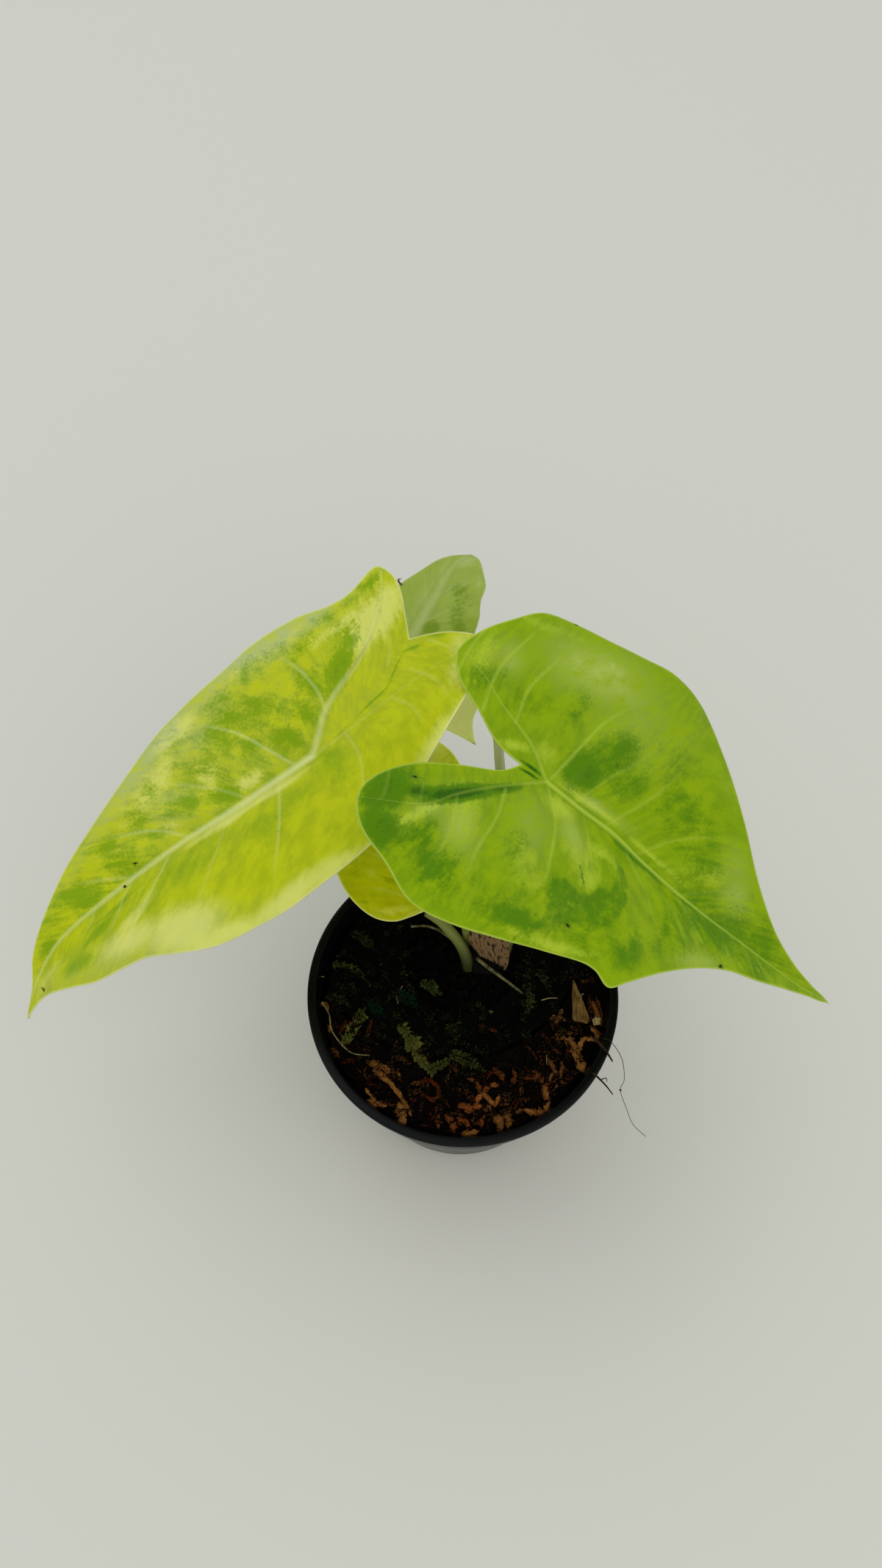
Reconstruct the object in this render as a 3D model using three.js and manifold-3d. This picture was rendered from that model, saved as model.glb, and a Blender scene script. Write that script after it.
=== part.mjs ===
// A young variegated alocasia in a small round nursery pot.
// Millimetres, +Z up. The origin is the centre of the pot's flat underside.

import * as THREE from "three";
import { mergeVertices } from "three/addons/utils/BufferGeometryUtils.js";
import Module from "manifold-3d";

const wasm = await Module();
wasm.setup();

// Driving dimensions

const GAP = 0.35;            // clearance between pieces that touch
const BLADE_THICKNESS = 0.7;

const POT = {
  height: 60, rimRadius: 40, baseRadius: 28, wall: 1.3, floor: 1.8, segments: 40,
  stepHeight: 46, stepRadius: 36.6, stepWidth: 0.9, neckRadius: 38.1, lipThickness: 1.6,
  edge: 0.5, // rounding of the lip and foot
  holes: 6, holeRadius: 3.2, holeCircle: 20,
};

const SOIL = { edge: 54, mound: 2.4, ripple: 0.5, clearance: 0.45, segments: 36 };

const CROWN = { centre: [6.3, 11], radius: 7.6, bottom: 46, top: 60.5, segments: 14 };

// Bare fill round the crown, and the moss that covers the rest. Angles are degrees from +X.

const BARE = { centre: [0, 9], radius: 15 };

const MOSS = {
  radius: 36.1,
  lift: 0.65,
  thickness: 1.1,
  seam: 1.1,
  brownFrom: 184,
  brownTo: 376,
  brownWidth: 18,
  margin: 1.5,
  sides: 3,
  steps: 3,
  green: { shoots: 38, seed: 11, length: [5, 10], girth: [0.75, 1.1], rise: [1, 3], colour: 0x4c5a1c },
  brown: { shoots: 38, seed: 37, length: [5.5, 10], girth: [0.9, 1.4], rise: [1, 3.2], colour: 0x8a5524 },
};

const FLAKE = {
  outline: [[-4.6, -1.6], [-2, -3.2], [2.6, -2.7], [4.8, -0.6], [3.4, 2.4], [-1.2, 3.1], [-4.2, 1.6]],
  thickness: 1.1, place: [29.4, -3.4, 57.6], turn: [20, -14, 96], colour: 0xa98a5e,
};

// Each blade has its own frame at the joint with its stalk: x runs along the midrib to the tip,
// y is to the left of it and z is out of the upper face. heading, pitch (down) and roll turn it.
// midrib lists points on it between joint and tip, bow bends the fold sideways along it,
// and back is the slope of the seam between the lobes.
// fold lifts both halves off the midrib, droop turns their margins down again,
// arch bends the blade down towards the tip, and wave = [height, length, phase] ruffles a margin.
// inner runs from the notch to the lobe's tip and outer from there to the blade's tip.
// atJoint gives the places on inner and outer that lie opposite the joint.

const BLADES = {
  blade_left: {
    joint: [-36, 39, 110], heading: 210, pitch: 23, roll: 0, length: 106, halfWidth: 30,
    arch: 0.0022, lobeArch: -0.002, fold: 0.36, droop: [0.005, 0.005], tipFrom: 0.75, tipDrop: 8,
    midrib: [[30, -2.6], [62, -4.2], [86, -2.8]], bow: -4, back: 0.23, wave: [[1.6, 44, 0], [1.2, 60, 1]],
    left: {
      inner: [[-35, -9], [-38.5, -7], [-43, -3], [-47.5, 3], [-49, 8]],
      outer: [[-45, 13], [-39, 16.5], [-30, 21], [-20, 25], [-10, 29], [0, 32], [9, 33.5], [19, 33],
        [30, 30], [41, 27.5], [50, 23], [58, 18], [66, 15], [75, 12], [84, 7], [92, 2.5], [98, 0.3],
        [105.5, -1]],
      costa: [-24, 0], atJoint: [0.5, 7],
    },
    right: {
      inner: [[-35, -9], [-37.5, -14], [-40, -19], [-40.8, -23], [-39.8, -26.6]],
      outer: [[-37.5, -27.9], [-30, -26.8], [-24, -27.5], [-16, -30], [-6, -30.6], [6, -29.5], [18, -29.6],
        [30, -29], [42, -26], [56, -22], [70, -18], [82, -13], [91, -8.6], [97, -4], [105.5, -1]],
      costa: [-18, -11.5], atJoint: [1, 6],
    },
    stations: [4, 7, 14], across: [2, 4], colour: 0xc4cf3a,
  },
  blade_right: {
    joint: [17.7, 24.5, 122.6], heading: -26, pitch: 26, roll: 0, length: 96, halfWidth: 37.5,
    arch: 0.0025, lobeArch: 0.002, fold: 0.36, droop: [0.01, 0.007], tipFrom: 0.75, tipDrop: 5,
    midrib: [[47.5, -1.8], [79, -0.3], [88, 1.8]], bow: -2, back: 0, wave: [[1.5, 55, 0.5], [1.8, 38, 1.2]],
    left: {
      inner: [[-7, 0], [-14, 1], [-22, 5], [-28.5, 8], [-32.5, 13]],
      outer: [[-30.5, 20], [-25.5, 27.5], [-20, 34], [-12, 36.5], [-2, 37.5], [6, 38.5], [14, 40],
        [22.5, 39.5], [29.5, 36.5], [37.5, 30.5], [46.5, 22], [55.5, 13.5], [63.5, 8], [71, 4.5], [79, 2.8],
        [87, 3], [92, 3.9], [96, 4.5]],
      costa: [-15, 9], atJoint: [0.7, 6],
    },
    right: {
      inner: [[-7, 0], [-11, -5], [-20, -10.5], [-28.5, -17], [-34.5, -25.5], [-35.5, -32.5]],
      outer: [[-31.5, -38], [-23.5, -40.5], [-15, -44], [-5, -44], [4, -41.5], [13, -37.5], [22, -34],
        [26.5, -33.6], [30.5, -35.4], [34.5, -31.5], [41.5, -24.5], [50.5, -17], [59.5, -11.5], [69, -8],
        [79, -3.5], [87, 0.2], [92, 2.3], [96, 4.5]],
      costa: [-14, -15], atJoint: [0.8, 5],
    },
    stations: [2, 7, 14], across: [2, 4], colour: 0x8fb81e,
  },
  blade_back: {
    joint: [-13.7, 76, 106], heading: 68, pitch: 8, roll: 0, length: 45, halfWidth: 15,
    arch: 0.004, lobeArch: 0.004, fold: 0.15, droop: [0.012, 0.012], tipFrom: 0.75, tipDrop: 2,
    midrib: [], bow: 0, back: 0, wave: [[0.6, 16, 0], [0.8, 13, 1]],
    left: {
      inner: [[-2, 0], [-6, 2.5], [-10, 6], [-11, 10]],
      outer: [[-7, 13.5], [0, 14.5], [8, 13.5], [14, 12], [20, 10.3], [27, 8.4], [34, 6], [40, 3],
        [44.8, -0.5]],
      costa: [-5, 5.5], atJoint: [0.5, 2],
    },
    right: {
      inner: [[-2, 0], [-6, -2.5], [-10, -6], [-11, -10]],
      outer: [[-7, -13.5], [0, -15], [9, -14.2], [15, -13.5], [22.5, -11.2], [29, -10.2], [36.5, -6.6],
        [42.5, -3.3], [44.8, -0.5]],
      costa: [-5, -5.5], atJoint: [0.5, 2],
    },
    stations: [2, 4, 9], across: [2, 3], colour: 0x86a055,
  },
  blade_low: {
    joint: [-9.7, 16.6, 72], heading: 100, pitch: -8, roll: 0, length: 58, halfWidth: 20,
    arch: 0.006, lobeArch: 0.01, fold: 0.15, droop: [0.012, 0.012], tipFrom: 0.75, tipDrop: 4,
    midrib: [], bow: 0, back: 0, wave: [[0.6, 22, 0], [0.6, 20, 1]],
    left: {
      inner: [[-0.3, 0], [-1.2, 3.5], [-1.9, 7.6]],
      outer: [[-1, 11.5], [1.5, 15], [6, 18.3], [12, 20.5], [20, 21.5], [30, 20], [40, 16.5], [49, 10],
        [58, 0]],
      costa: [-0.3, 3.6], atJoint: [0.3, 2],
    },
    right: {
      inner: [[-0.3, 0], [-1.2, -3.5], [-1.9, -7.6]],
      outer: [[-0.5, -11], [3, -14], [9, -16], [18, -17.5], [28, -18], [38, -17], [46, -14.5],
        [52, -9.5], [58, 0]],
      costa: [-0.3, -3.6], atJoint: [0.3, 2],
    },
    stations: [1, 3, 9], across: [1, 3], colour: 0xa5a52a,
  },
  blade_hanging: {
    joint: [-11, 61, 105.8], heading: 10, pitch: 58, roll: -80, length: 28, halfWidth: 9,
    arch: 0.006, lobeArch: 0.01, fold: 0.15, droop: [0.012, 0.012], tipFrom: 0.75, tipDrop: 1,
    midrib: [], bow: 0, back: 0, wave: [[0.3, 14, 0], [0.3, 12, 1]],
    left: {
      inner: [[-1, 0], [-4, 2], [-5, 5]],
      outer: [[-2, 8], [4, 9.3], [10, 8.6], [16, 6.2], [20.5, 4], [24.5, 2], [28, 0]],
      costa: [-2, 3], atJoint: [0.4, 2],
    },
    right: {
      inner: [[-1, 0], [-4, -2], [-5, -5]],
      outer: [[-2, -8], [4, -9.3], [10, -9.2], [15, -8], [18.5, -4.9], [23, -2.1], [28, 0]],
      costa: [-2, -3], atJoint: [0.4, 2],
    },
    stations: [1, 3, 7], across: [1, 2], colour: 0xb9bd86,
  },
};

// The dried sheath is a plate of the same kind that stands on its tip, with no lobes.

const SHEATH = {
  joint: [9.8, 5.8, 54.8], heading: 85, pitch: -74, roll: 0, length: 25, halfWidth: 8,
  arch: 0, lobeArch: 0, fold: 0, droop: [0.05, 0.05], tipFrom: 0.75, tipDrop: 0,
  midrib: [], bow: 0, back: 0, wave: [[0.3, 9, 0], [0.3, 9, 0]],
  left: { inner: [[0, 0]], outer: [[2.5, 2.6], [5.5, 5], [10, 8], [15, 9], [20, 6.5], [25, 1]] },
  right: { inner: [[0, 0]], outer: [[1.5, -1.2], [4, -1.9], [8, -2], [14, -2], [20, -2.2], [25, 1]] },
  stations: [0, 0, 6], across: [0, 2], colour: 0x8a5f4a,
};

// Stalks: centre line from inside the crown up to the blade's joint, with end radii.

const STALKS = {
  stalk_left: {
    line: [[5, 12, 51], [4.8, 13.2, 66], [3.5, 13.5, 78], [-2, 16, 90], [-13, 23, 100.5], [-26, 33, 105.5],
      [-35, 38.5, 109.3], [-37, 40, 111]],
    radii: [1.9, 1.1],
  },
  stalk_right: {
    line: [[10.6, 10.6, 51], [11.3, 11.2, 62], [13, 15, 84], [14.5, 19.5, 103], [16.8, 23.8, 119],
      [18, 25, 123.6]],
    radii: [1.9, 1.1],
  },
  stalk_back: {
    line: [[8, 15.2, 51], [9, 18, 61], [11.3, 32, 73], [9.8, 50, 86], [7.6, 62, 97], [0, 71, 103],
      [-10, 75, 104.5], [-14, 76.3, 106.5]],
    radii: [1.7, 0.9],
  },
  stalk_low: {
    line: [[1.4, 7, 51], [1.6, 7.2, 57], [-0.4, 10.6, 63], [-5, 14.2, 68.6], [-9.2, 16.2, 71.4],
      [-10, 17, 72.4]],
    radii: [1.8, 1.2],
  },
  stalk_hanging: {
    line: [[1.8, 12.6, 51], [1.2, 13.2, 64], [0, 14, 78], [-4, 20, 87], [-9.5, 32, 94], [-12.5, 46, 101.3],
      [-11.6, 57, 104.8], [-11, 61.5, 106.3]],
    radii: [1.4, 0.8],
  },
};

// Thin pieces that lie on the fill: centre line and end radii.

const THREADS = {
  pale_spike: {
    line: [[3, 10, 58.4], [4.6, 7.3, 60.4], [7.5, 4.9, 60.4], [11, 2.3, 59.8], [15.2, -0.8, 59]],
    radii: [0.75, 0.4], colour: 0xc9c493,
  },
  root_left: {
    line: [[-13.6, 17.8, 58.8], [-8.7, 17.4, 59.6], [-4, 15, 59.4], [-0.2, 12.2, 57.4]],
    radii: [0.4, 0.6], colour: 0xb9b98a,
  },
  root_curled: {
    line: [[-36, -3.9, 60.6], [-33.9, -7.4, 61.2], [-32.9, -11.8, 60.8], [-28.4, -16.8, 60.4],
      [-23.6, -17.1, 58.4]],
    radii: [0.4, 0.4], colour: 0xb5a67c,
  },
};

// Solids

function toSolid(geometry) {
  const bare = geometry.clone();
  for (const name of Object.keys(bare.attributes)) {
    if (name !== "position") bare.deleteAttribute(name);
  }
  const merged = mergeVertices(bare, 1e-4);
  const triangles = [];
  for (let i = 0; i < merged.index.count; i += 3) {
    const [a, b, c] = merged.index.array.slice(i, i + 3);
    if (a !== b && b !== c && c !== a) triangles.push(a, b, c);
  }
  const mesh = new wasm.Mesh({
    numProp: 3,
    vertProperties: new Float32Array(merged.attributes.position.array),
    triVerts: new Uint32Array(triangles),
  });
  return new wasm.Manifold(mesh);
}

function toGeometry(solid) {
  const mesh = solid.getMesh();
  const geometry = new THREE.BufferGeometry();
  geometry.setAttribute("position", new THREE.BufferAttribute(new Float32Array(mesh.vertProperties), 3));
  geometry.setIndex(new THREE.BufferAttribute(new Uint32Array(mesh.triVerts), 1));
  return geometry;
}

function largestBody(solid) {
  const bodies = solid.decompose();
  return bodies.reduce((best, body) => (body.volume() > best.volume() ? body : best));
}

function without(solid, cutters) {
  const cut = cutters.reduce((rest, cutter) => rest.subtract(cutter), solid);
  return largestBody(cut);
}

// A plate over a net of triangles: upper and lower give its two faces over the plane point (x, y).
class Plate {
  constructor() {
    this.points = [];
    this.lookup = new Map();
    this.triangles = [];
  }

  point(x, y) {
    const key = `${Math.round(x * 1000)},${Math.round(y * 1000)}`;
    if (!this.lookup.has(key)) {
      this.lookup.set(key, this.points.length);
      this.points.push([x, y]);
    }
    return this.lookup.get(key);
  }

  triangle(a, b, c) {
    if (a === b || b === c || c === a) return;
    const [p, q, r] = [a, b, c].map((i) => this.points[i]);
    const turn = (q[0] - p[0]) * (r[1] - p[1]) - (q[1] - p[1]) * (r[0] - p[0]);
    this.triangles.push(turn > 0 ? [a, b, c] : [a, c, b]);
  }

  // Rows of points between two lines that are walked together.
  strip(from, to, steps, across) {
    let last = null;
    for (let i = 0; i <= steps; i += 1) {
      const a = from(i / steps);
      const b = to(i / steps);
      const row = [];
      for (let j = 0; j <= across; j += 1) {
        const f = j / across;
        row.push(this.point(a.x + (b.x - a.x) * f, a.y + (b.y - a.y) * f));
      }
      for (let j = 0; last && j < across; j += 1) {
        this.triangle(last[j], row[j], row[j + 1]);
        this.triangle(last[j], row[j + 1], last[j + 1]);
      }
      last = row;
    }
  }

  geometry(upper, lower) {
    const count = this.points.length;
    const position = [];
    for (const face of [upper, lower]) {
      for (const [x, y] of this.points) position.push(...face(x, y).toArray());
    }
    const index = [];
    const edges = new Map();
    for (const [a, b, c] of this.triangles) {
      index.push(a, b, c, a + count, c + count, b + count);
      for (const [p, q] of [[a, b], [b, c], [c, a]]) edges.set(`${p},${q}`, [p, q]);
    }
    for (const [p, q] of edges.values()) {
      if (!edges.has(`${q},${p}`)) index.push(q, p, p + count, q, p + count, q + count);
    }
    const geometry = new THREE.BufferGeometry();
    geometry.setAttribute("position", new THREE.Float32BufferAttribute(position, 3));
    geometry.setIndex(index);
    return geometry;
  }
}

// A round tapered rod along a curve. Its far end closes to a point or to a flat cap.
function rod(curve, radiusAt, steps, sides, pointed = false) {
  const frames = curve.computeFrenetFrames(steps, false);
  const position = [];
  const index = [];
  for (let i = 0; i <= steps; i += 1) {
    const centre = curve.getPointAt(i / steps);
    if (pointed && i === steps) {
      position.push(...centre.toArray());
      break;
    }
    for (let j = 0; j < sides; j += 1) {
      const angle = (2 * Math.PI * j) / sides;
      const out = frames.normals[i].clone().multiplyScalar(Math.cos(angle));
      out.addScaledVector(frames.binormals[i], Math.sin(angle));
      position.push(...centre.clone().addScaledVector(out, radiusAt(i / steps)).toArray());
    }
  }
  const rings = pointed ? steps - 1 : steps;
  for (let i = 0; i < rings; i += 1) {
    for (let j = 0; j < sides; j += 1) {
      const a = i * sides + j;
      const b = i * sides + ((j + 1) % sides);
      index.push(a, b, b + sides, a, b + sides, a + sides);
    }
  }
  const end = rings * sides;
  for (let j = 1; j < sides - 1; j += 1) {
    index.push(0, j + 1, j);
    if (!pointed) index.push(end, end + j, end + j + 1);
  }
  for (let j = 0; pointed && j < sides; j += 1) {
    index.push(end + j, end + ((j + 1) % sides), end + sides);
  }
  const geometry = new THREE.BufferGeometry();
  geometry.setAttribute("position", new THREE.Float32BufferAttribute(position, 3));
  geometry.setIndex(index);
  return geometry;
}

function curveThrough(points) {
  return new THREE.CatmullRomCurve3(points.map((p) => new THREE.Vector3(...p)));
}

// Blades

function bladeSurface(blade) {
  const [turn, fall, tilt] = [blade.heading, blade.pitch, blade.roll].map(THREE.MathUtils.degToRad);
  const along = new THREE.Vector3(
    Math.cos(turn) * Math.cos(fall), Math.sin(turn) * Math.cos(fall), -Math.sin(fall));
  const level = new THREE.Vector3(-Math.sin(turn), Math.cos(turn), 0);
  const steep = new THREE.Vector3().crossVectors(along, level);
  const side = level.clone().multiplyScalar(Math.cos(tilt)).addScaledVector(steep, Math.sin(tilt));
  const up = new THREE.Vector3().crossVectors(along, side);

  function height(x, y) {
    const bowed = blade.bow * Math.sin(Math.PI * THREE.MathUtils.clamp(x / blade.length, 0, 1));
    const w = y - (x > 0 ? bowed : blade.back * x);
    const [droop, [size, length, phase]] = w > 0
      ? [blade.droop[0], blade.wave[0]]
      : [blade.droop[1], blade.wave[1]];
    const pastBend = Math.max(0, (x / blade.length - blade.tipFrom) / (1 - blade.tipFrom));
    return -0.5 * (x > 0 ? blade.arch : blade.lobeArch) * x * x
      + blade.fold * (Math.hypot(w, 2) - 2)
      - 0.5 * droop * w * w
      - blade.tipDrop * pastBend * pastBend
      + size * (w / blade.halfWidth) ** 2 * Math.sin((2 * Math.PI * x) / length + phase);
  }

  function point(x, y, lift = 0) {
    return new THREE.Vector3(...blade.joint)
      .addScaledVector(along, x)
      .addScaledVector(side, y)
      .addScaledVector(up, height(x, y) + lift);
  }

  function normal(x, y) {
    const step = 0.01;
    const dx = point(x + step, y).sub(point(x - step, y));
    const dy = point(x, y + step).sub(point(x, y - step));
    return dx.cross(dy).normalize();
  }

  return { point, normal };
}

function bladeNet(blade) {
  const net = new Plate();
  const joint = new THREE.Vector2(0, 0);
  const [seamSteps, costaSteps, midribSteps] = blade.stations;
  const [innerAcross, outerAcross] = blade.across;
  for (const half of [blade.left, blade.right]) {
    const controls = [...half.inner, ...half.outer].map(([x, y]) => new THREE.Vector2(x, y));
    const margin = new THREE.SplineCurve(controls);
    const last = controls.length - 1;
    const marginFrom = (a, b) => (t) => margin.getPoint((a + (b - a) * t) / last);
    const between = blade.midrib.map(([x, y]) => new THREE.Vector2(x, y));
    const midrib = new THREE.SplineCurve([joint, ...between, controls[last]]);
    if (!half.costa) {
      net.strip((t) => midrib.getPointAt(t), marginFrom(0, last), midribSteps, outerAcross);
      continue;
    }
    const lobeTip = half.inner.length - 1;
    const seam = new THREE.SplineCurve([controls[0], joint]);
    const costa = new THREE.SplineCurve([joint, new THREE.Vector2(...half.costa), controls[lobeTip]]);
    const [onInner, onOuter] = half.atJoint;
    net.strip((t) => seam.getPointAt(t), marginFrom(0, onInner), seamSteps, innerAcross);
    net.strip((t) => costa.getPointAt(t), marginFrom(onInner, lobeTip), costaSteps, innerAcross);
    const beside = lobeTip + onOuter;
    net.strip((t) => costa.getPointAt(1 - t), marginFrom(lobeTip, beside), costaSteps, outerAcross);
    net.strip((t) => midrib.getPointAt(t), marginFrom(beside, last), midribSteps, outerAcross);
  }
  return net;
}

function bladeSolid(blade, grow = 0) {
  const surface = bladeSurface(blade);
  const half = BLADE_THICKNESS / 2 + grow;
  const face = (sign) => (x, y) => surface.point(x, y).addScaledVector(surface.normal(x, y), sign * half);
  return toSolid(bladeNet(blade).geometry(face(1), face(-1)));
}

function stalkSolid(stalk, grow = 0) {
  const [base, top] = stalk.radii;
  const radiusAt = (t) => THREE.MathUtils.lerp(base, top, Math.sqrt(t)) + grow;
  return toSolid(rod(curveThrough(stalk.line), radiusAt, 16, 8));
}

function threadSolid(thread, grow = 0) {
  const [base, top] = thread.radii;
  const radiusAt = (t) => THREE.MathUtils.lerp(base, top, t) + grow;
  return toSolid(rod(curveThrough(thread.line), radiusAt, 8, 6));
}

// Pot, fill and crown

function revolve(profile, segments) {
  const points = profile.map(([r, z]) => new THREE.Vector2(r, z));
  return new THREE.LatheGeometry(points, segments).rotateX(Math.PI / 2);
}

function potSolid() {
  const { height, rimRadius, neckRadius, baseRadius, wall, floor, edge } = POT;
  const { stepHeight, stepRadius, stepWidth } = POT;
  const lip = height - POT.lipThickness;
  const outside = [
    [0, 0], [baseRadius - edge, 0], [baseRadius, edge],
    [stepRadius, stepHeight], [stepRadius + stepWidth, stepHeight + stepWidth], [neckRadius, lip],
    [rimRadius - edge, lip], [rimRadius, lip + edge], [rimRadius, height - edge], [rimRadius - edge, height],
  ];
  const inside = [
    [neckRadius, height], [neckRadius - wall, height - wall],
    [stepRadius + stepWidth - wall, stepHeight + stepWidth + edge], [stepRadius - wall, stepHeight + edge],
    [baseRadius - wall, floor], [0, floor],
  ];
  const holes = [];
  for (let i = 0; i < POT.holes; i += 1) {
    const angle = (2 * Math.PI * (i + 0.5)) / POT.holes;
    const hole = new THREE.CylinderGeometry(POT.holeRadius, POT.holeRadius, 4 * floor, 16);
    hole.rotateX(Math.PI / 2);
    hole.translate(POT.holeCircle * Math.cos(angle), POT.holeCircle * Math.sin(angle), 0);
    holes.push(toSolid(hole));
  }
  return without(toSolid(revolve([...outside, ...inside], POT.segments)), holes);
}

function soilLevel(x, y) {
  const r = Math.hypot(x, y) / MOSS.radius;
  const ripple = Math.sin(0.21 * x + 0.4) * Math.cos(0.23 * y) + 0.4 * Math.sin(0.33 * (x - y));
  return SOIL.edge + SOIL.mound * (1 - r * r) + SOIL.ripple * ripple * Math.min(1, 4 * Math.abs(1 - r));
}

function soilSolid() {
  const inset = POT.wall + SOIL.clearance;
  const bottom = POT.floor + SOIL.clearance;
  const shoulder = POT.stepRadius + POT.stepWidth - inset;
  const profile = [
    [0, bottom], [POT.baseRadius - inset, bottom],
    [POT.stepRadius - inset, POT.stepHeight], [shoulder, POT.stepHeight + 2 * POT.stepWidth],
    ...[1, 0.86, 0.7, 0.54, 0.38, 0.2, 0].map((f) => [f * shoulder, SOIL.edge]),
  ];
  const geometry = revolve(profile, SOIL.segments);
  const position = geometry.attributes.position;
  for (let i = 0; i < position.count; i += 1) {
    if (Math.abs(position.getZ(i) - SOIL.edge) < 0.01) {
      position.setZ(i, soilLevel(position.getX(i), position.getY(i)));
    }
  }
  return toSolid(geometry);
}

function crownSolid(grow = 0) {
  const { radius, bottom, top, segments } = CROWN;
  const middle = (bottom + top) / 2;
  const half = (top - bottom) / 2 + grow;
  const profile = [];
  for (let i = 0; i <= 6; i += 1) {
    const angle = -Math.PI / 2 + (Math.PI * i) / 6;
    profile.push([i % 6 ? (radius + grow) * Math.cos(angle) ** 0.6 : 0, middle + half * Math.sin(angle)]);
  }
  return toSolid(revolve(profile, segments).translate(...CROWN.centre, 0));
}

// Moss

// Steps that fill a unit square evenly when they are added up and wrapped.
const SPREAD = [0.7549, 0.5698];

function seededRandom(seed) {
  let state = seed * 7919;
  return () => {
    state = (state * 48271) % 2147483647;
    return state / 2147483647;
  };
}

function onCircle(radius, degrees, centre = [0, 0]) {
  const angle = THREE.MathUtils.degToRad(degrees);
  return new THREE.Vector2(centre[0] + radius * Math.cos(angle), centre[1] + radius * Math.sin(angle));
}

function brownInnerRadius(degrees) {
  const t = (degrees - MOSS.brownFrom) / (MOSS.brownTo - MOSS.brownFrom);
  const width = t > 0 && t < 1 ? MOSS.brownWidth * Math.sin(Math.PI * t) ** 0.6 : 0;
  return MOSS.radius - width;
}

// The brown crescent runs on past 360 degrees.
function unwrapped(degrees) {
  return degrees < MOSS.brownTo - 360 ? degrees + 360 : degrees;
}

function greenOuterRadius(degrees) {
  return brownInnerRadius(unwrapped(degrees)) - MOSS.seam;
}

function bearing(point) {
  return (THREE.MathUtils.radToDeg(Math.atan2(point.y, point.x)) + 360) % 360;
}

function distanceToBare(point) {
  return Math.hypot(point.x - BARE.centre[0], point.y - BARE.centre[1]);
}

// near and far are the patch's two edges at a bearing, and holds tells where its shoots may end.
const PATCHES = {
  green: {
    span: [0, 360], cells: [36, 3],
    near: (degrees) => onCircle(BARE.radius, degrees, BARE.centre),
    far: (degrees) => onCircle(greenOuterRadius(degrees % 360), degrees),
    holds: (point) => point.length() < greenOuterRadius(bearing(point)) - MOSS.margin
      && distanceToBare(point) > BARE.radius - MOSS.margin,
  },
  brown: {
    span: [MOSS.brownFrom + 3, MOSS.brownTo - 3], cells: [24, 3],
    near: (degrees) => onCircle(brownInnerRadius(degrees), degrees),
    far: (degrees) => onCircle(MOSS.radius, degrees),
    holds: (point) => point.length() < MOSS.radius - MOSS.margin
      && point.length() > brownInnerRadius(unwrapped(bearing(point))) + MOSS.margin,
  },
};

function mossSolid(kind) {
  const patch = PATCHES[kind];
  const { shoots, seed, length, girth, rise } = MOSS[kind];
  const [from, to] = patch.span;
  const at = (t) => from + (to - from) * t;
  const mat = new Plate();
  mat.strip((t) => patch.near(at(t)), (t) => patch.far(at(t)), ...patch.cells);
  const bottom = (x, y) => new THREE.Vector3(x, y, soilLevel(x, y) + MOSS.lift);
  const top = (x, y) => {
    const lump = 0.4 * Math.sin(0.9 * x + seed) * Math.cos(0.8 * y);
    return new THREE.Vector3(x, y, soilLevel(x, y) + MOSS.lift + MOSS.thickness + lump);
  };
  const pieces = [toSolid(mat.geometry(top, bottom))];
  const random = seededRandom(seed);
  const pick = ([low, high]) => low + (high - low) * random();
  for (let tries = 1; pieces.length <= shoots; tries += 1) {
    const degrees = at((tries * SPREAD[0]) % 1);
    const root = patch.near(degrees).lerp(patch.far(degrees), 0.1 + 0.82 * ((tries * SPREAD[1]) % 1));
    const heading = 360 * random();
    const reach = pick(length);
    const thick = pick(girth);
    const up = pick(rise);
    const ends = [0, 120, 240].map((turn) => onCircle(reach, heading + turn, root.toArray()));
    const end = ends.find(patch.holds);
    if (!end) continue;
    const level = soilLevel(root.x, root.y) + MOSS.lift + 0.5 * MOSS.thickness;
    const middle = root.clone().lerp(end, 0.5);
    const curve = curveThrough([
      [root.x, root.y, level], [middle.x, middle.y, level + up], [end.x, end.y, level + up * random()],
    ]);
    const radiusAt = (t) => thick * (0.55 + 0.7 * Math.sin(Math.PI * Math.min(1, 0.2 + t)));
    pieces.push(toSolid(rod(curve, radiusAt, MOSS.steps, MOSS.sides, true)));
  }
  return wasm.Manifold.union(pieces);
}

function flakeSolid(grow = 0) {
  const outline = FLAKE.outline.map(([x, y]) => new THREE.Vector2(x, y).multiplyScalar(1 + grow / 3));
  const depth = FLAKE.thickness + 2 * grow;
  const geometry = new THREE.ExtrudeGeometry(new THREE.Shape(outline), { depth, bevelEnabled: false });
  geometry.translate(0, 0, -depth / 2);
  const turn = new THREE.Euler(...FLAKE.turn.map(THREE.MathUtils.degToRad));
  geometry.applyMatrix4(new THREE.Matrix4().makeRotationFromEuler(turn));
  return toSolid(geometry.translate(...FLAKE.place));
}

// The pieces, each cut clear of those it meets

const stalkCutters = Object.values(STALKS).map((stalk) => stalkSolid(stalk, GAP));
const threadCutters = Object.values(THREADS).map((thread) => threadSolid(thread, GAP));
const sheathCutter = bladeSolid(SHEATH, GAP);
const crownCutter = crownSolid(GAP);
const flakeCutter = flakeSolid(GAP);
const brownMoss = without(mossSolid("brown"), [...threadCutters, flakeCutter]);
const greenMoss = without(mossSolid("green"), [
  ...stalkCutters, ...threadCutters, sheathCutter, crownCutter, flakeCutter,
]);

const plant = new THREE.Group();

function addNode(name, solid, colour, roughness = 0.6) {
  const material = new THREE.MeshStandardMaterial({ color: colour, roughness, metalness: 0 });
  const mesh = new THREE.Mesh(toGeometry(solid), material);
  mesh.name = name;
  plant.add(mesh);
}

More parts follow.
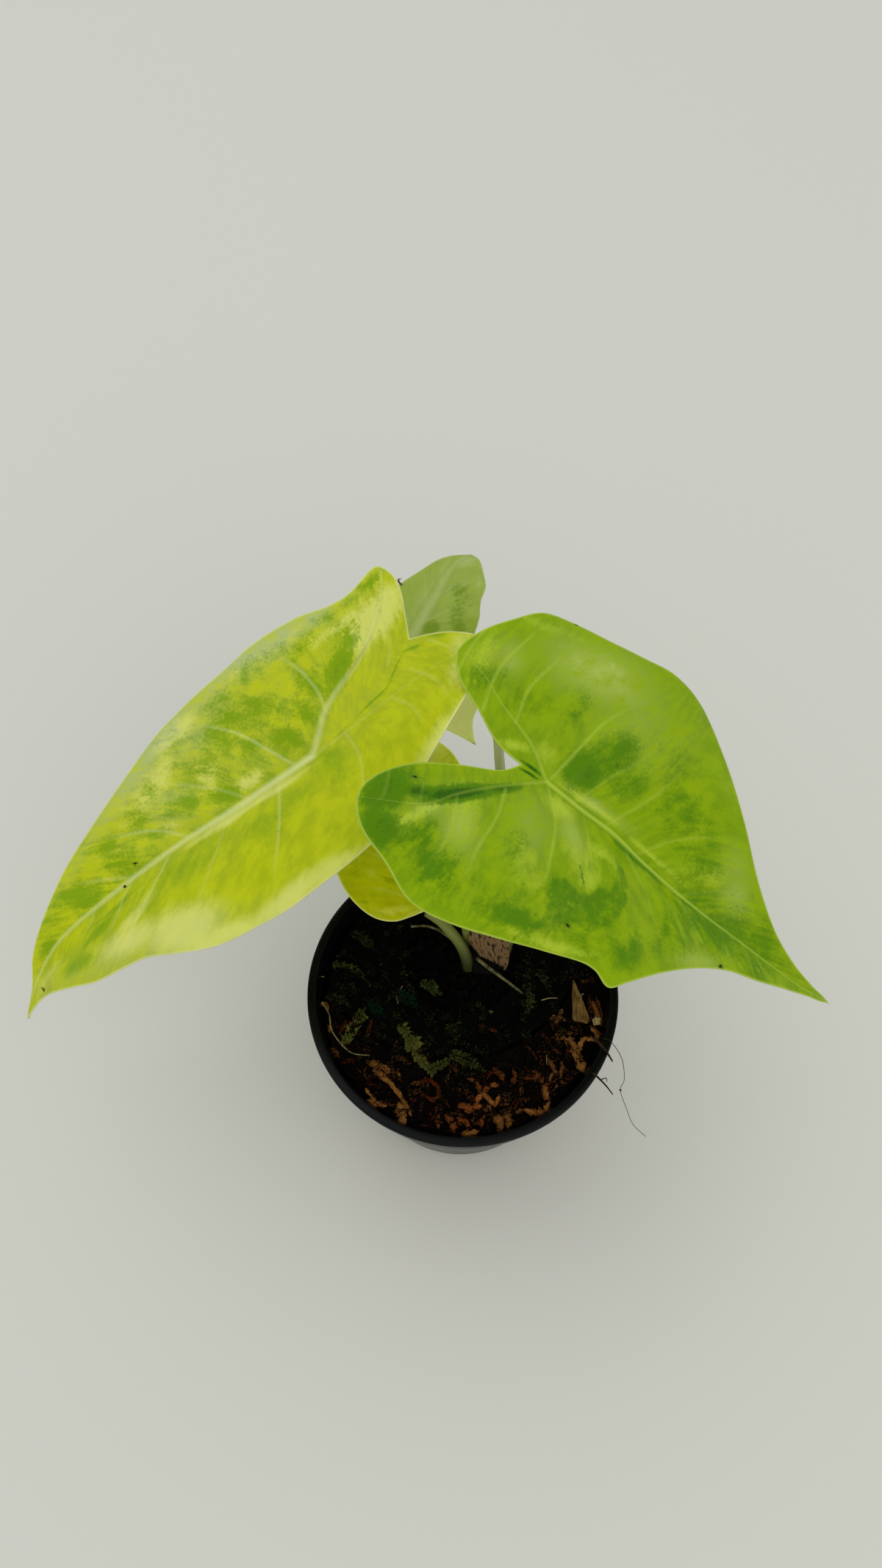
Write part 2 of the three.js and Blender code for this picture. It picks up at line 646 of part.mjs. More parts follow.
addNode("pot", potSolid(), 0x101214, 0.35);
addNode("growing_medium", without(soilSolid(), [crownCutter, ...stalkCutters]), 0x120d09, 0.95);
addNode("moss_green", greenMoss, MOSS.green.colour, 0.9);
addNode("moss_brown", brownMoss, MOSS.brown.colour, 0.9);
addNode("crown", without(crownSolid(), [...stalkCutters, ...threadCutters]), 0x6b5a3a, 0.8);
addNode("dried_sheath", without(bladeSolid(SHEATH), [crownCutter, ...stalkCutters, ...threadCutters]),
  SHEATH.colour, 0.8);
for (const [name, blade] of Object.entries(BLADES)) {
  const stalkName = name.replace("blade", "stalk");
  const stalk = without(stalkSolid(STALKS[stalkName]), [bladeSolid(blade, GAP)]);
  addNode(name, bladeSolid(blade), blade.colour, 0.45);
  addNode(stalkName, stalk, 0xb8bf7d, 0.5);
}
for (const [name, thread] of Object.entries(THREADS)) {
  addNode(name, threadSolid(thread), thread.colour, 0.7);
}
addNode("bark_flake", flakeSolid(), FLAKE.colour, 0.85);

export default plant;
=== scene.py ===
import math
import random
from functools import partial

import bmesh
import bpy
import numpy as np
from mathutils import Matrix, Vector, noise


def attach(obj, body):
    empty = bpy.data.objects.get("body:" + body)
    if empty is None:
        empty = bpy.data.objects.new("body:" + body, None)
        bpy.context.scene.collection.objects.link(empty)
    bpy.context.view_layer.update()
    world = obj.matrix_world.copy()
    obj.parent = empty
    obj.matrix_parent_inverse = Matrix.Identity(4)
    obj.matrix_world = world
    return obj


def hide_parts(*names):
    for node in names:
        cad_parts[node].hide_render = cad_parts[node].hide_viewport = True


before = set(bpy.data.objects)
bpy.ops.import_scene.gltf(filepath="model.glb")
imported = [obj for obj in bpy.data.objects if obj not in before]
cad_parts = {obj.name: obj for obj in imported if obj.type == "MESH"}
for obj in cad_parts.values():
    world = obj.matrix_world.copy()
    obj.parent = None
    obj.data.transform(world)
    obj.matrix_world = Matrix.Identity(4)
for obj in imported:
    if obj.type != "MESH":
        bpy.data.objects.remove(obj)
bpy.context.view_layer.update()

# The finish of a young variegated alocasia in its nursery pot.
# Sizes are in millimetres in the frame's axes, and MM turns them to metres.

MM = 0.001
NOISE_SEED = 1
noise.seed_set(NOISE_SEED)    # noise_vector would else take its seed from the clock

# Blades. Each has its own plane: x runs along the midrib from its joint with the stalk, y to the
# left of it and z out of the upper face, as in the part's source. midrib and costa list the points
# of the main ribs between the joint and the blade's or the lobe's tip.

BLADE_THICKNESS = 0.55

BLADES = {
    "blade_left": dict(
        joint=(-36, 39, 110), heading=210, pitch=23, length=106, half_width=30,
        arch=0.0022, lobe_arch=-0.002, fold=0.36, droop=(0.005, 0.005), tip_drop=8,
        midrib=[(10, -0.6), (25, -2), (40, -4), (60, -5.6), (80, -6), (96, -3)], bow=-4, back=0.23,
        wave=((1.6, 44, 0), (1.2, 60, 1)),
        left=dict(
            inner=[(-35, -9), (-38.5, -7), (-43, -3), (-47.5, 3), (-49, 8)],
            outer=[(-45, 13), (-39, 16.5), (-30, 21), (-20, 25), (-10, 29), (0, 32), (9, 33.5), (19, 33),
                   (30, 30), (41, 27.5), (50, 23), (58, 18), (66, 15), (75, 12), (84, 7), (92, 2.5),
                   (98, 0.3), (105.5, -1)],
            costa=[(-12, 0.8), (-26, 1.8), (-38, 4)], at_joint=(0.5, 7)),
        right=dict(
            inner=[(-35, -9), (-37.5, -14), (-40, -19), (-40.8, -23), (-39.8, -26.6)],
            outer=[(-37.5, -27.9), (-30, -26.8), (-24, -27.5), (-16, -30), (-6, -30.6), (6, -29.5),
                   (18, -29.6), (30, -29), (42, -26), (56, -22), (70, -18), (82, -13), (91, -8.6), (97, -4),
                   (105.5, -1)],
            costa=[(-4, -3.4), (-8, -6.8), (-14, -9.6), (-24, -13), (-34, -20)], at_joint=(1, 6)),
    ),
    "blade_right": dict(
        joint=(17.7, 24.5, 122.6), heading=-26, pitch=26, length=96, half_width=37.5,
        arch=0.0025, lobe_arch=0.002, fold=0.36, droop=(0.01, 0.007), tip_drop=5,
        midrib=[(10, -0.6), (20, -0.7), (30, -2.2), (45, -3), (60, -2.4), (80, -0.6)], bow=-2, back=0,
        wave=((1.5, 55, 0.5), (1.8, 38, 1.2)),
        left=dict(
            inner=[(-7, 0), (-14, 1), (-22, 5), (-28.5, 8), (-32.5, 13)],
            outer=[(-30.5, 20), (-25.5, 27.5), (-20, 34), (-12, 36.5), (-2, 37.5), (6, 38.5), (14, 40),
                   (22.5, 39.5), (29.5, 36.5), (37.5, 30.5), (46.5, 22), (55.5, 13.5), (63.5, 8), (71, 4.5),
                   (79, 2.8), (87, 3), (92, 3.9), (96, 4.5)],
            costa=[(-6, 4.4), (-12, 6.8), (-18, 8.8), (-25, 12)], at_joint=(0.7, 6)),
        right=dict(
            inner=[(-7, 0), (-11, -5), (-20, -10.5), (-28.5, -17), (-34.5, -25.5), (-35.5, -32.5)],
            outer=[(-31.5, -38), (-23.5, -40.5), (-15, -44), (-5, -44), (4, -41.5), (13, -37.5), (22, -34),
                   (26.5, -33.6), (30.5, -35.4), (34.5, -31.5), (41.5, -24.5), (50.5, -17), (59.5, -11.5),
                   (69, -8), (79, -3.5), (87, 0.2), (92, 2.3), (96, 4.5)],
            costa=[(-9, -8.5), (-17, -17), (-23, -24.5)], at_joint=(0.8, 5)),
    ),
    "blade_back": dict(
        joint=(-13.7, 76, 106), heading=68, pitch=8, length=45, half_width=15,
        arch=0.004, lobe_arch=0.004, fold=0.15, droop=(0.012, 0.012), tip_drop=2,
        midrib=[(20, 0.6), (34, 1.2)], bow=0, back=0, wave=((0.6, 16, 0), (0.8, 13, 1)),
        left=dict(
            inner=[(-2, 0), (-6, 2.5), (-10, 6), (-11, 10)],
            outer=[(-7, 13.5), (0, 14.5), (8, 13.5), (14, 12), (20, 10.3), (27, 8.4), (34, 6), (40, 3),
                   (44.8, -0.5)],
            costa=[(-5, 5.5)], at_joint=(0.5, 2)),
        right=dict(
            inner=[(-2, 0), (-6, -2.5), (-10, -6), (-11, -10)],
            outer=[(-7, -13.5), (0, -15), (9, -14.2), (15, -13.5), (22.5, -11.2), (29, -10.2), (36.5, -6.6),
                   (42.5, -3.3), (44.8, -0.5)],
            costa=[(-5, -5.5)], at_joint=(0.5, 2)),
    ),
    "blade_low": dict(
        joint=(-9.7, 16.6, 72), heading=100, pitch=-8, length=58, half_width=20,
        arch=0.006, lobe_arch=0.01, fold=0.15, droop=(0.012, 0.012), tip_drop=4,
        midrib=[(25, 0), (45, 0)], bow=0, back=0, wave=((0.6, 22, 0), (0.6, 20, 1)),
        left=dict(
            inner=[(-0.3, 0), (-1.2, 3.5), (-1.9, 7.6)],
            outer=[(-1, 11.5), (1.5, 15), (6, 18.3), (12, 20.5), (20, 21.5), (30, 20), (40, 16.5), (49, 10),
                   (58, 0)],
            costa=[(-0.3, 3.6)], at_joint=(0.3, 2)),
        right=dict(
            inner=[(-0.3, 0), (-1.2, -3.5), (-1.9, -7.6)],
            outer=[(-0.5, -11), (3, -14), (9, -16), (18, -17.5), (28, -18), (38, -17), (46, -14.5),
                   (52, -9.5), (58, 0)],
            costa=[(-0.3, -3.6)], at_joint=(0.3, 2)),
    ),
    "blade_hanging": dict(
        joint=(-11, 61, 105.8), heading=10, pitch=58, roll=-80, length=28, half_width=9,
        arch=0.006, lobe_arch=0.01, fold=0.15, droop=(0.012, 0.012), tip_drop=1,
        midrib=[(14, 0), (22, 0)], bow=0, back=0, wave=((0.3, 14, 0), (0.3, 12, 1)),
        left=dict(
            inner=[(-1, 0), (-4, 2), (-5, 5)],
            outer=[(-2, 8), (4, 9.3), (10, 8.6), (16, 6.2), (20.5, 4), (24.5, 2), (28, 0)],
            costa=[(-2, 3)], at_joint=(0.4, 2)),
        right=dict(
            inner=[(-1, 0), (-4, -2), (-5, -5)],
            outer=[(-2, -8), (4, -9.3), (10, -9.2), (15, -8), (18.5, -4.9), (23, -2.1), (28, 0)],
            costa=[(-2, -3)], at_joint=(0.4, 2)),
    ),
}

# What marks each blade.
# ribs: half width at the joint and strength of the midrib, the left and the right costa.
# veins: the side veins of each half from lobe to tip, each a path and its strength.
# dark, pale and bloom: soft ovals (x, y, length, width, turn, strength) of deeper green, of tissue
# without green, and of painted sheen, a highlight of the leaf's gloss laid on as a pale grey-green. zones:
# closed outlines of deeper green, strength and edge width.
# mottle: how broken the colour of the left and the right half is.

MARKS = {
    "blade_left": dict(
        ribs=((1.05, 0.68), (0.5, 0.12), (0.9, 0.45)), mottle=(0.45, 1.35),
        veins=dict(
            left=[([(-24, 2), (-27, 9), (-27, 16)], 0.25),
                  ([(-10, 1.5), (-10, 10), (-6, 20), (0, 28)], 0.3),
                  ([(10.5, 1), (13, 8), (16, 15), (21, 24)], 0.6),
                  ([(26, 0), (33, 7), (40, 14), (46, 21)], 0.25),
                  ([(44, -3), (52, 2), (60, 8), (66, 12)], 0.6)],
            right=[([(-21, -12), (-24, -16), (-26, -22)], 0.3),
                   ([(-9, -7.6), (-10, -13), (-9, -20), (-6, -26)], 0.65),
                   ([(5, -1.6), (8, -8), (11.5, -15), (16, -20.5), (21, -25)], 0.8),
                   ([(19, -2), (24, -8.5), (31, -15), (38, -21)], 0.4),
                   ([(37, -4.4), (43, -10.5), (51, -15), (57, -18)], 0.65),
                   ([(55, -5.6), (62, -10), (70, -14)], 0.4)]),
        dark=[(-17, -13.6, 9, 3.4, 28, 0.95), (-22.5, -16.5, 4, 2.2, 20, 0.8), (-13, -23, 6, 3, 10, 0.62),
              (-27, -25, 8, 1.8, 0, 0.6), (-35, -25.6, 4, 1.8, 0, 0.9), (-4, -10, 5, 6, 0, 0.75),
              (3, -7.5, 6, 4.5, -20, 0.75), (5, -16, 8, 5, 10, 0.62), (14, -18, 7, 7, -30, 0.68),
              (4, -14, 15, 10, -12, 0.56), (4, -25, 20, 3.6, 0, 0.55), (11, -12, 3, 6, -60, 0.65),
              (24, -7, 7, 3, -35, 0.8), (33, -10.5, 9, 3.2, -25, 0.72), (30, -19, 9, 3, -20, 0.4),
              (44, -14.5, 8, 3, -15, 0.5), (56, -10, 7, 3.4, -25, 0.8), (57, -16, 6, 2.6, -10, 0.7),
              (66, -9, 20, 7, -8, 0.55), (70, -11.5, 13, 4, -10, 0.65), (84, -7, 8, 3, 5, 0.5),
              (62, -1.8, 12, 1.3, -2, 0.7), (78, 3.8, 9, 3.4, -20, 0.75), (69, 0.3, 9, 2, 8, 0.75),
              (-10, -0.4, 8, 0.3, 3, 0.6), (-20, -1.3, 8, 0.4, 6, 0.8), (-28, -4.2, 5, 0.5, 32, 0.8),
              (-34, -6.1, 4, 0.7, -20, 0.85), (-41, -3.6, 4, 0.7, -45, 0.8), (-3, 6, 6, 9, 20, 0.6),
              (-9, -14, 6, 5, 0, 0.7), (42, 3, 28, 7, -5, 0.52), (15, 9, 18, 9, 0, 0.5),
              (16, -15, 36, 13, 0, 0.42), (66, -9, 26, 9, -5, 0.5), (78, 1, 18, 7, -8, 0.46),
              (48, -12, 16, 9, -10, 0.42)],
        pale=[(-31, -18, 9, 4.5, 10, 1.1), (-24, -21.5, 9, 1.8, 0, 0.7), (-6, -27, 12, 2, 0, 0.5),
              (26, -26, 8, 3, 0, 0.9), (24, -13, 5, 4, 0, 0.5), (37, -20, 12, 4, 15, 0.6),
              (16, -5, 6, 2, -10, 0.7), (40, -9, 4, 2, -20, 0.5), (20, 31, 34, 4, -5, 0.75),
              (46, 19, 12, 7, -25, 0.95), (61, 10, 13, 4.5, -20, 0.8), (58, 5, 9, 2.4, 15, 0.7),
              (-42, 11, 6, 6, 20, 0.7), (-28, 22, 14, 4, 20, 0.7), (20, 0.4, 19, 1.7, -7, 1.0),
              (-44, 4, 5, 4, 45, 0.6), (40, 26, 18, 3.4, -18, 0.8), (90, -1, 9, 3, 0, 0.5)],
        bloom=[(36, -13, 8, 5, -20, 0.8), (20, -22, 12, 5, 10, 0.8), (0, -28, 30, 4, 0, 1.4),
               (30, -27, 26, 3.4, 14, 1.3), (20, -14, 46, 15, -3, 0.28), (60, 14, 30, 5, -25, 0.4),
               (60, -19, 24, 3, 14, 0.35)],
        zones=[],
        specks=[(52.3, -7.6, 0.5), (58, -5.1, 0.45), (15, 13.2, 0.4), (93, 0.2, 0.45), (93.2, -0.5, 0.4),
                (93.5, -1.1, 0.3)],
    ),
    "blade_right": dict(
        ribs=((0.6, 0.75), (0.5, 0.42), (0.5, 0.3)), mottle=(0.8, 0.9),
        veins=dict(
            left=[([(-13, 7.2), (-14.5, 15), (-13, 22), (-11, 30)], 0.9),
                  ([(0.5, 1), (2.4, 10), (4.5, 19), (9, 27)], 1.0),
                  ([(8, 0), (12, 9), (17, 18), (19, 27)], 0.35),
                  ([(17, 0), (22, 9), (25, 16), (27, 24)], 0.6),
                  ([(27, -1), (33, 6.5), (40, 12), (47, 16)], 0.5), ([(42, -2), (50, 4), (57, 7)], 0.3)],
            right=[([(-17, -18), (-15, -28), (-17, -38)], 0.4),
                   ([(-8, -9), (-7.5, -17), (-8.5, -26), (-8, -36)], 0.9),
                   ([(1, -1), (5.5, -9), (7, -18), (7.5, -23), (4, -32)], 0.8),
                   ([(11, -1), (16, -10), (18, -18), (16, -28)], 0.35),
                   ([(24, -2.4), (32, -9), (37, -16), (39, -22)], 0.35),
                   ([(40, -3), (47, -8), (53, -12)], 0.3)]),
        dark=[(6, 7, 6, 5, 60, 1.0), (10, 13, 9, 6, 60, 0.8), (16, 10, 9, 5, 30, 0.55),
              (24, 22, 14, 9, -30, 0.4), (-4.5, 0.7, 2.6, 0.45, -2, 1.7), (-4.5, -1.0, 2.6, 0.4, 4, 1.7),
              (-8.8, -9.2, 6, 1.2, 45, 1.3), (-17, -17, 10, 1.9, 43, 1.6), (-25, -22.6, 5, 1.5, 35, 1.4),
              (-31, -27, 5, 8, -20, 1.1), (-28, -35, 6, 5, -20, 1.0), (-14, -35, 8, 6, 0, 0.7),
              (-20, -31, 6, 5, 0, 0.6), (33, -24, 5, 9, -20, 0.6), (3, -36, 9, 4, 20, 0.75),
              (-12, 12, 7, 4, 20, 0.5), (-3, 17, 5, 8, 0, 0.5), (-24, 12, 6, 5, 20, 0.5),
              # (28, -2.9) and (42, -3.8) are painted shadow: thin dark lines just below the midrib's ridge.
              (28, -2.9, 12, 0.55, -6, 1.0), (42, -3.8, 9, 0.6, 0, 0.8), (58, -7, 8, 3, 15, 0.5),
              (70, -2, 10, 2, 5, 0.5), (62, 6, 10, 3, -28, 0.45), (34, 12, 20, 9, -25, 0.52),
              (56, -3, 26, 10, 5, 0.64), (42, -14, 12, 7, 30, 0.48), (16, -27, 16, 7, 0, 0.45),
              (-2, -20, 4, 6, 10, 0.55)],
        pale=[(5, -4, 6, 3.2, 0, 0.8), (14, -12, 7, 7, -60, 0.52), (17, -15.4, 5, 4, 20, 0.6),
              (-14, -21, 5, 9, 20, 0.5), (2, -24, 6, 8, 0, 0.42), (-27, 15, 4, 8, 10, 0.6),
              # (12, 1.6) just above the midrib and the thin streaks at (-21, -23) and (-24, -29) are
              # painted highlights.
              (-4, 5, 4, 3, 0, 0.6), (12, 1.6, 9, 0.9, 2, 0.85), (-21, -23, 1.6, 7, -25, 0.9),
              (-24, -29, 1.2, 5, -25, 0.8), (16, -34.5, 13, 1.6, 22, 0.7), (44, 5, 9, 4, 20, 0.5),
              (-18, 31, 12, 2, 15, 0.5), (-15, -12.5, 10, 1.4, 38, 0.35), (30, 0.6, 12, 0.8, -3, 0.7),
              (-10, 3, 5, 1.6, 20, 0.7), (18, -8, 7, 2, -10, 0.6)],
        bloom=[(-2, 28, 12, 6, 10, 0.95), (-22, 19, 4, 4, 0, 0.6), (12, 22, 12, 8, 20, 0.35),
               (16, 27, 9, 4, 0, 0.3), (54, 5, 4, 5, 20, 0.75), (50, 10, 4, 5, 20, 0.4),
               (50, -15.5, 6, 1.8, 32, 0.8), (0, -14, 5, 8, 0, 0.4), (-20, -22, 3, 9, -40, 0.5),
               (12, 2.2, 8, 1, 2, 0.8), (10, -9, 5, 3, -50, 0.7), (-14, -24, 4, 6, 20, 0.7)],
        zones=[([(22.1, -8.4), (22.9, -15.2), (21, -15.6), (19.6, -16.7), (18.8, -19.6), (17.4, -18.4),
                 (16.7, -21.2), (15.4, -19.8), (14.1, -20.6), (10.6, -20.3), (8.1, -25.1), (9.3, -29.1),
                 (8.7, -32.8), (6.1, -36.7), (10, -35.4), (13, -33.9), (14.8, -31.9), (17.5, -28),
                 (20.8, -27.7), (23.6, -26.2), (25.7, -23.1), (27.5, -18.6), (27.3, -12.7), (25.1, -8)],
                 0.64, 1.6)],
        specks=[(-27, -20, 0.45), (16.5, -28.8, 0.45), (-12.5, 36.4, 0.35), (57, -12.2, 0.6), (80, -3, 0.4),
                (12, 12.3, 0.5)],
    ),
    "blade_back": dict(
        ribs=((1.5, 0.8), (0.5, 0.3), (0.5, 0.3)), mottle=(1.0, 1.0),
        veins=dict(
            left=[([(2, 0.5), (9, 5), (16, 9.5)], 0.6), ([(12, 0.5), (20, 4), (29, 7)], 0.5),
                  ([(23, 0.8), (30, 3), (36, 4.6)], 0.5)],
            right=[([(2, -0.5), (5, -6), (7, -12)], 0.7), ([(9, 0), (14, -4), (21, -8.5)], 0.6),
                   ([(20, 0.2), (27, -3), (34, -5.5)], 0.5)]),
        dark=[(7, -3, 3, 3, 0, 0.8), (16, -7, 9, 4, 10, 0.55), (24, -5, 5, 4, 0, 0.5),
              (9, -10, 5, 3, 0, 0.6), (30, 6, 6, 2, -15, 0.4)],
        pale=[(14, 2.5, 14, 2.6, 3, 0.6), (30, 2.5, 9, 2, 5, 0.5), (38, -1, 6, 3, 0, 0.7),
              (30, -8, 10, 1.2, 15, 0.5), (12, -2, 3, 1.4, 0, 0.4)],
        bloom=[(20, 0, 30, 12, 0, 0.5)], zones=[], specks=[],
    ),
    "blade_low": dict(
        ribs=((0.5, 0.6), (0.4, 0.3), (0.4, 0.3)), mottle=(0.7, 0.7),
        veins=dict(
            left=[([(2, 0.5), (6, 8), (9, 16)], 0.5), ([(8, 0), (15, 8), (22, 17)], 0.5),
                  ([(22, 0), (30, 7), (38, 13)], 0.5)],
            right=[([(2, -0.5), (7, -8), (12, -14)], 0.5), ([(9, 0), (17, -8), (25, -15)], 0.5),
                   ([(23, 0), (31, -7), (38, -13)], 0.5)]),
        dark=[(4, 15, 3, 2, 30, 0.6), (9, 9, 5, 3, 40, 0.5), (14, 16, 4, 3, 0, 0.5),
              (28, -10, 8, 4, 0, 0.4)],
        pale=[(1, 8, 1.6, 7, 0, 0.6), (12, 12, 4, 2, 30, 0.4), (48, 0, 14, 14, 0, 0.9)],
        bloom=[(50, 0, 14, 14, 0, 0.8)], zones=[], specks=[],
    ),
    "blade_hanging": dict(
        ribs=((0.35, 0.5), (0.3, 0.3), (0.3, 0.3)), mottle=(0.5, 0.5),
        veins=dict(
            left=[([(2, 0), (6, 4), (11, 8)], 0.6), ([(8, 0), (13, 3), (18, 5)], 0.6)],
            right=[([(2, 0), (6, -4), (10, -8.4)], 0.6), ([(9, 0), (13, -3), (17, -5.6)], 0.6)]),
        dark=[(17.5, 2.4, 1, 0.3, 40, 1.2), (26, 0.2, 1.6, 1, -20, 0.8), (12, -3.6, 4, 1, 30, 0.3)],
        pale=[(20, 0, 5, 3, 0, 0.5), (12, -6, 4, 1.6, 20, 0.4)],
        bloom=[], zones=[], specks=[(27.4, 0, 0.7)],
    ),
}

# Cells of the blade's net in each half: seam, costa and midrib stations, and cells across.
NETS = {
    "blade_left": ((30, 50, 130), (24, 44)),
    "blade_right": ((10, 50, 120), (24, 52)),
    "blade_back": ((6, 24, 60), (14, 26)),
    "blade_low": ((3, 14, 70), (10, 34)),
    "blade_hanging": ((4, 12, 46), (8, 18)),
}


# Helpers

def linear(colour):
    """The linear RGBA of an sRGB hex value."""
    parts = [int(colour[i:i + 2], 16) / 255 for i in (1, 3, 5)]
    return tuple(c / 12.92 if c <= 0.04045 else ((c + 0.055) / 1.055) ** 2.4 for c in parts) + (1.0,)


def add_node(material, kind, settings=None, links=None, result=0):
    """Adds a shader node and gives one of its outputs. settings are its properties or the values of
    its sockets, with colours as hex, and links are the outputs that feed its sockets."""
    tree = material.node_tree
    node = tree.nodes.new("ShaderNode" + kind)
    for name, value in (settings or {}).items():
        if isinstance(name, str) and hasattr(node, name):
            setattr(node, name, value)
        else:
            node.inputs[name].default_value = linear(value) if isinstance(value, str) else value
    for name, source in (links or {}).items():
        tree.links.new(source, node.inputs[name])
    return node.outputs[result]


def new_material(name, **surface):
    """A material, its Principled shader with the given socket values, and add_node for it."""
    material = bpy.data.materials.new(name)
    material.use_nodes = True
    shader = material.node_tree.nodes["Principled BSDF"]
    for socket, value in surface.items():
        shader.inputs[socket.replace("_", " ")].default_value = value
    return material, shader, partial(add_node, material)


def finish_surface(material, shader, colour, relief, depth, roughness=None):
    """Joins the colour, and relief of depth millimetres, to the shader."""
    bump = add_node(material, "Bump", {"Distance": depth * MM}, {"Height": relief})
    for source, socket in ((colour, "Base Color"), (bump, "Normal"), (roughness, "Roughness")):
        if source:
            material.node_tree.links.new(source, shader.inputs[socket])
    return material


def select_only(piece):
    for item in bpy.context.selected_objects:
        item.select_set(False)
    piece.select_set(True)
    bpy.context.view_layer.objects.active = piece


def add_object(name, data):
    made = bpy.data.objects.new(name, data)
    bpy.context.scene.collection.objects.link(made)
    return made


def mesh_piece(name, points, faces, material, smooth=True):
    """A mesh object from points in millimetres."""
    mesh = bpy.data.meshes.new(name)
    mesh.from_pydata((np.asarray(points, float) * MM).tolist(), [], faces)
    mesh.materials.append(material)
    if smooth:
        mesh.shade_smooth()
    return add_object(name, mesh)


def set_attribute(piece, name, values, domain="POINT"):
    """values has one number, or one row of three, for each point or face corner."""
    values = np.asarray(values, np.float32)
    kind, field = ("FLOAT", "value") if values.ndim == 1 else ("FLOAT_VECTOR", "vector")
    piece.data.attributes.new(name, kind, domain).data.foreach_set(field, values.ravel())


def install(piece, node=None):
    """The piece rides with the plant, and stands for a node of the frame if one is named."""
    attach(piece, "root")
    if node:
        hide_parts(node)


# Curves

FAR = 1e9
CURVE_SAMPLES = 400


def spline(points, t):
    """Catmull-Rom curve through points. t runs by the points' own numbers."""
    points = np.asarray(points, float)
    last = len(points) - 1
    t = np.clip(np.asarray(t, float), 0, last)
    i = np.minimum(t.astype(int), last - 1)
    f = (t - i)[:, None]
    start, end = points[i], points[i + 1]
    v0 = (end - points[np.maximum(i - 1, 0)]) / 2
    v1 = (points[np.minimum(i + 2, last)] - start) / 2
    return ((2 * start - 2 * end + v0 + v1) * f ** 3 + (-3 * start + 3 * end - 2 * v0 - v1) * f ** 2
            + v0 * f + start)


def evenly(points, count):
    """count + 1 points spaced evenly along the curve."""
    fine = spline(points, np.linspace(0, len(points) - 1, CURVE_SAMPLES))
    along = np.concatenate(([0], np.cumsum(np.linalg.norm(np.diff(fine, axis=0), axis=1))))
    want = np.linspace(0, along[-1], count + 1)
    return np.stack([np.interp(want, along, fine[:, k]) for k in range(fine.shape[1])], 1)


def headings(centres):
    """Unit vectors along a line of points."""
    ahead = np.gradient(centres, axis=0)
    return ahead / np.linalg.norm(ahead, axis=1)[:, None]


def nearest(line, x, y):
    """Distance to a line, how far along it that is in its own steps, and 1 on its left or -1 on its
    right."""
    best, along, side = np.full(len(x), FAR), np.zeros(len(x)), np.ones(len(x))
    for i, (a, b) in enumerate(zip(line[:-1], line[1:])):
        d = b - a
        t = np.clip(((x - a[0]) * d[0] + (y - a[1]) * d[1]) / (d @ d), 0, 1)
        gap = np.hypot(x - a[0] - t * d[0], y - a[1] - t * d[1])
        closer = gap < best
        best[closer] = gap[closer]
        along[closer] = (i + t)[closer]
        side[closer] = np.sign(d[0] * (y - a[1]) - d[1] * (x - a[0]))[closer]
    return best, along, side


def smooth_step(value, low, high):
    t = np.clip((value - low) / (high - low), 0, 1)
    return t * t * (3 - 2 * t)


def circle(radius, count, centre=(0, 0)):
    """Plan points round a circle."""
    turns = [2 * math.pi * j / count for j in range(count)]
    return [(centre[0] + radius * math.cos(a), centre[1] + radius * math.sin(a)) for a in turns]


# Cells

def grid_cells(rows, columns, closed=False, turned=False):
    """Cells between rows of points. closed joins the ends of each row, and turned makes the cells face
    the other way."""
    cells = []
    for i in range(rows - 1):
        for j in range(columns if closed else columns - 1):
            a, b = i * columns + j, i * columns + (j + 1) % columns
            cells.append((a, b, b + columns, a + columns) if turned else (a, a + columns, b + columns, b))
    return cells


def close_sheet(cells, count):
    """Cells of a thin closed sheet, from those of its upper face. Its lower face has the next count
    points. Also gives the upper cell that each one belongs to."""
    owner = {edge: i for i, cell in enumerate(cells) for edge in zip(cell, cell[1:] + cell[:1])}
    rim = [(a, b) for a, b in owner if (b, a) not in owner]
    under = [tuple(i + count for i in cell[::-1]) for cell in cells]
    walls = [(b, a, a + count, b + count) for a, b in rim]
    return cells + under + walls, 2 * list(range(len(cells))) + [owner[edge] for edge in rim]


def ruled(first, last, rows, columns):
    """Points on the straight lines between two curves, row by row."""
    return [a + (b - a) * j / columns for a, b in zip(evenly(first, rows), evenly(last, rows))
            for j in range(columns + 1)]


# Blades

BEND_FROM = 0.75     # where the tip starts to drop, as a share of the length
FOLD_RADIUS = 2


class BladeSurface:
    def __init__(self, spec):
        self.spec = spec
        turn, fall, tilt = (math.radians(spec.get(k, 0)) for k in ("heading", "pitch", "roll"))
        self.along = np.array([math.cos(turn) * math.cos(fall), math.sin(turn) * math.cos(fall),
                               -math.sin(fall)])
        level = np.array([-math.sin(turn), math.cos(turn), 0])
        steep = np.cross(self.along, level)
        self.side = math.cos(tilt) * level + math.sin(tilt) * steep
        self.up = np.cross(self.along, self.side)

    def height(self, x, y):
        s = self.spec
        bowed = s["bow"] * np.sin(np.pi * np.clip(x / s["length"], 0, 1))
        w = y - np.where(x > 0, bowed, s["back"] * x)
        droop = np.where(w > 0, *s["droop"])
        past_bend = np.clip((x / s["length"] - BEND_FROM) / (1 - BEND_FROM), 0, None)
        waves = [size * (w / s["half_width"]) ** 2 * np.sin(2 * np.pi * x / length + phase)
                 for size, length, phase in s["wave"]]
        return (-0.5 * np.where(x > 0, s["arch"], s["lobe_arch"]) * x * x
                + s["fold"] * (np.hypot(w, FOLD_RADIUS) - FOLD_RADIUS) - 0.5 * droop * w * w
                - s["tip_drop"] * past_bend ** 2 + np.where(w > 0, *waves))

    def place(self, x, y, lift=0.0):
        z = self.height(x, y) + lift
        return np.asarray(self.spec["joint"], float) + (
            np.outer(x, self.along) + np.outer(y, self.side) + np.outer(z, self.up))

    def normal(self, x, y):
        step = 0.05
        n = np.cross(self.place(x + step, y) - self.place(x - step, y),
                     self.place(x, y + step) - self.place(x, y - step))
        return n / np.linalg.norm(n, axis=1)[:, None]


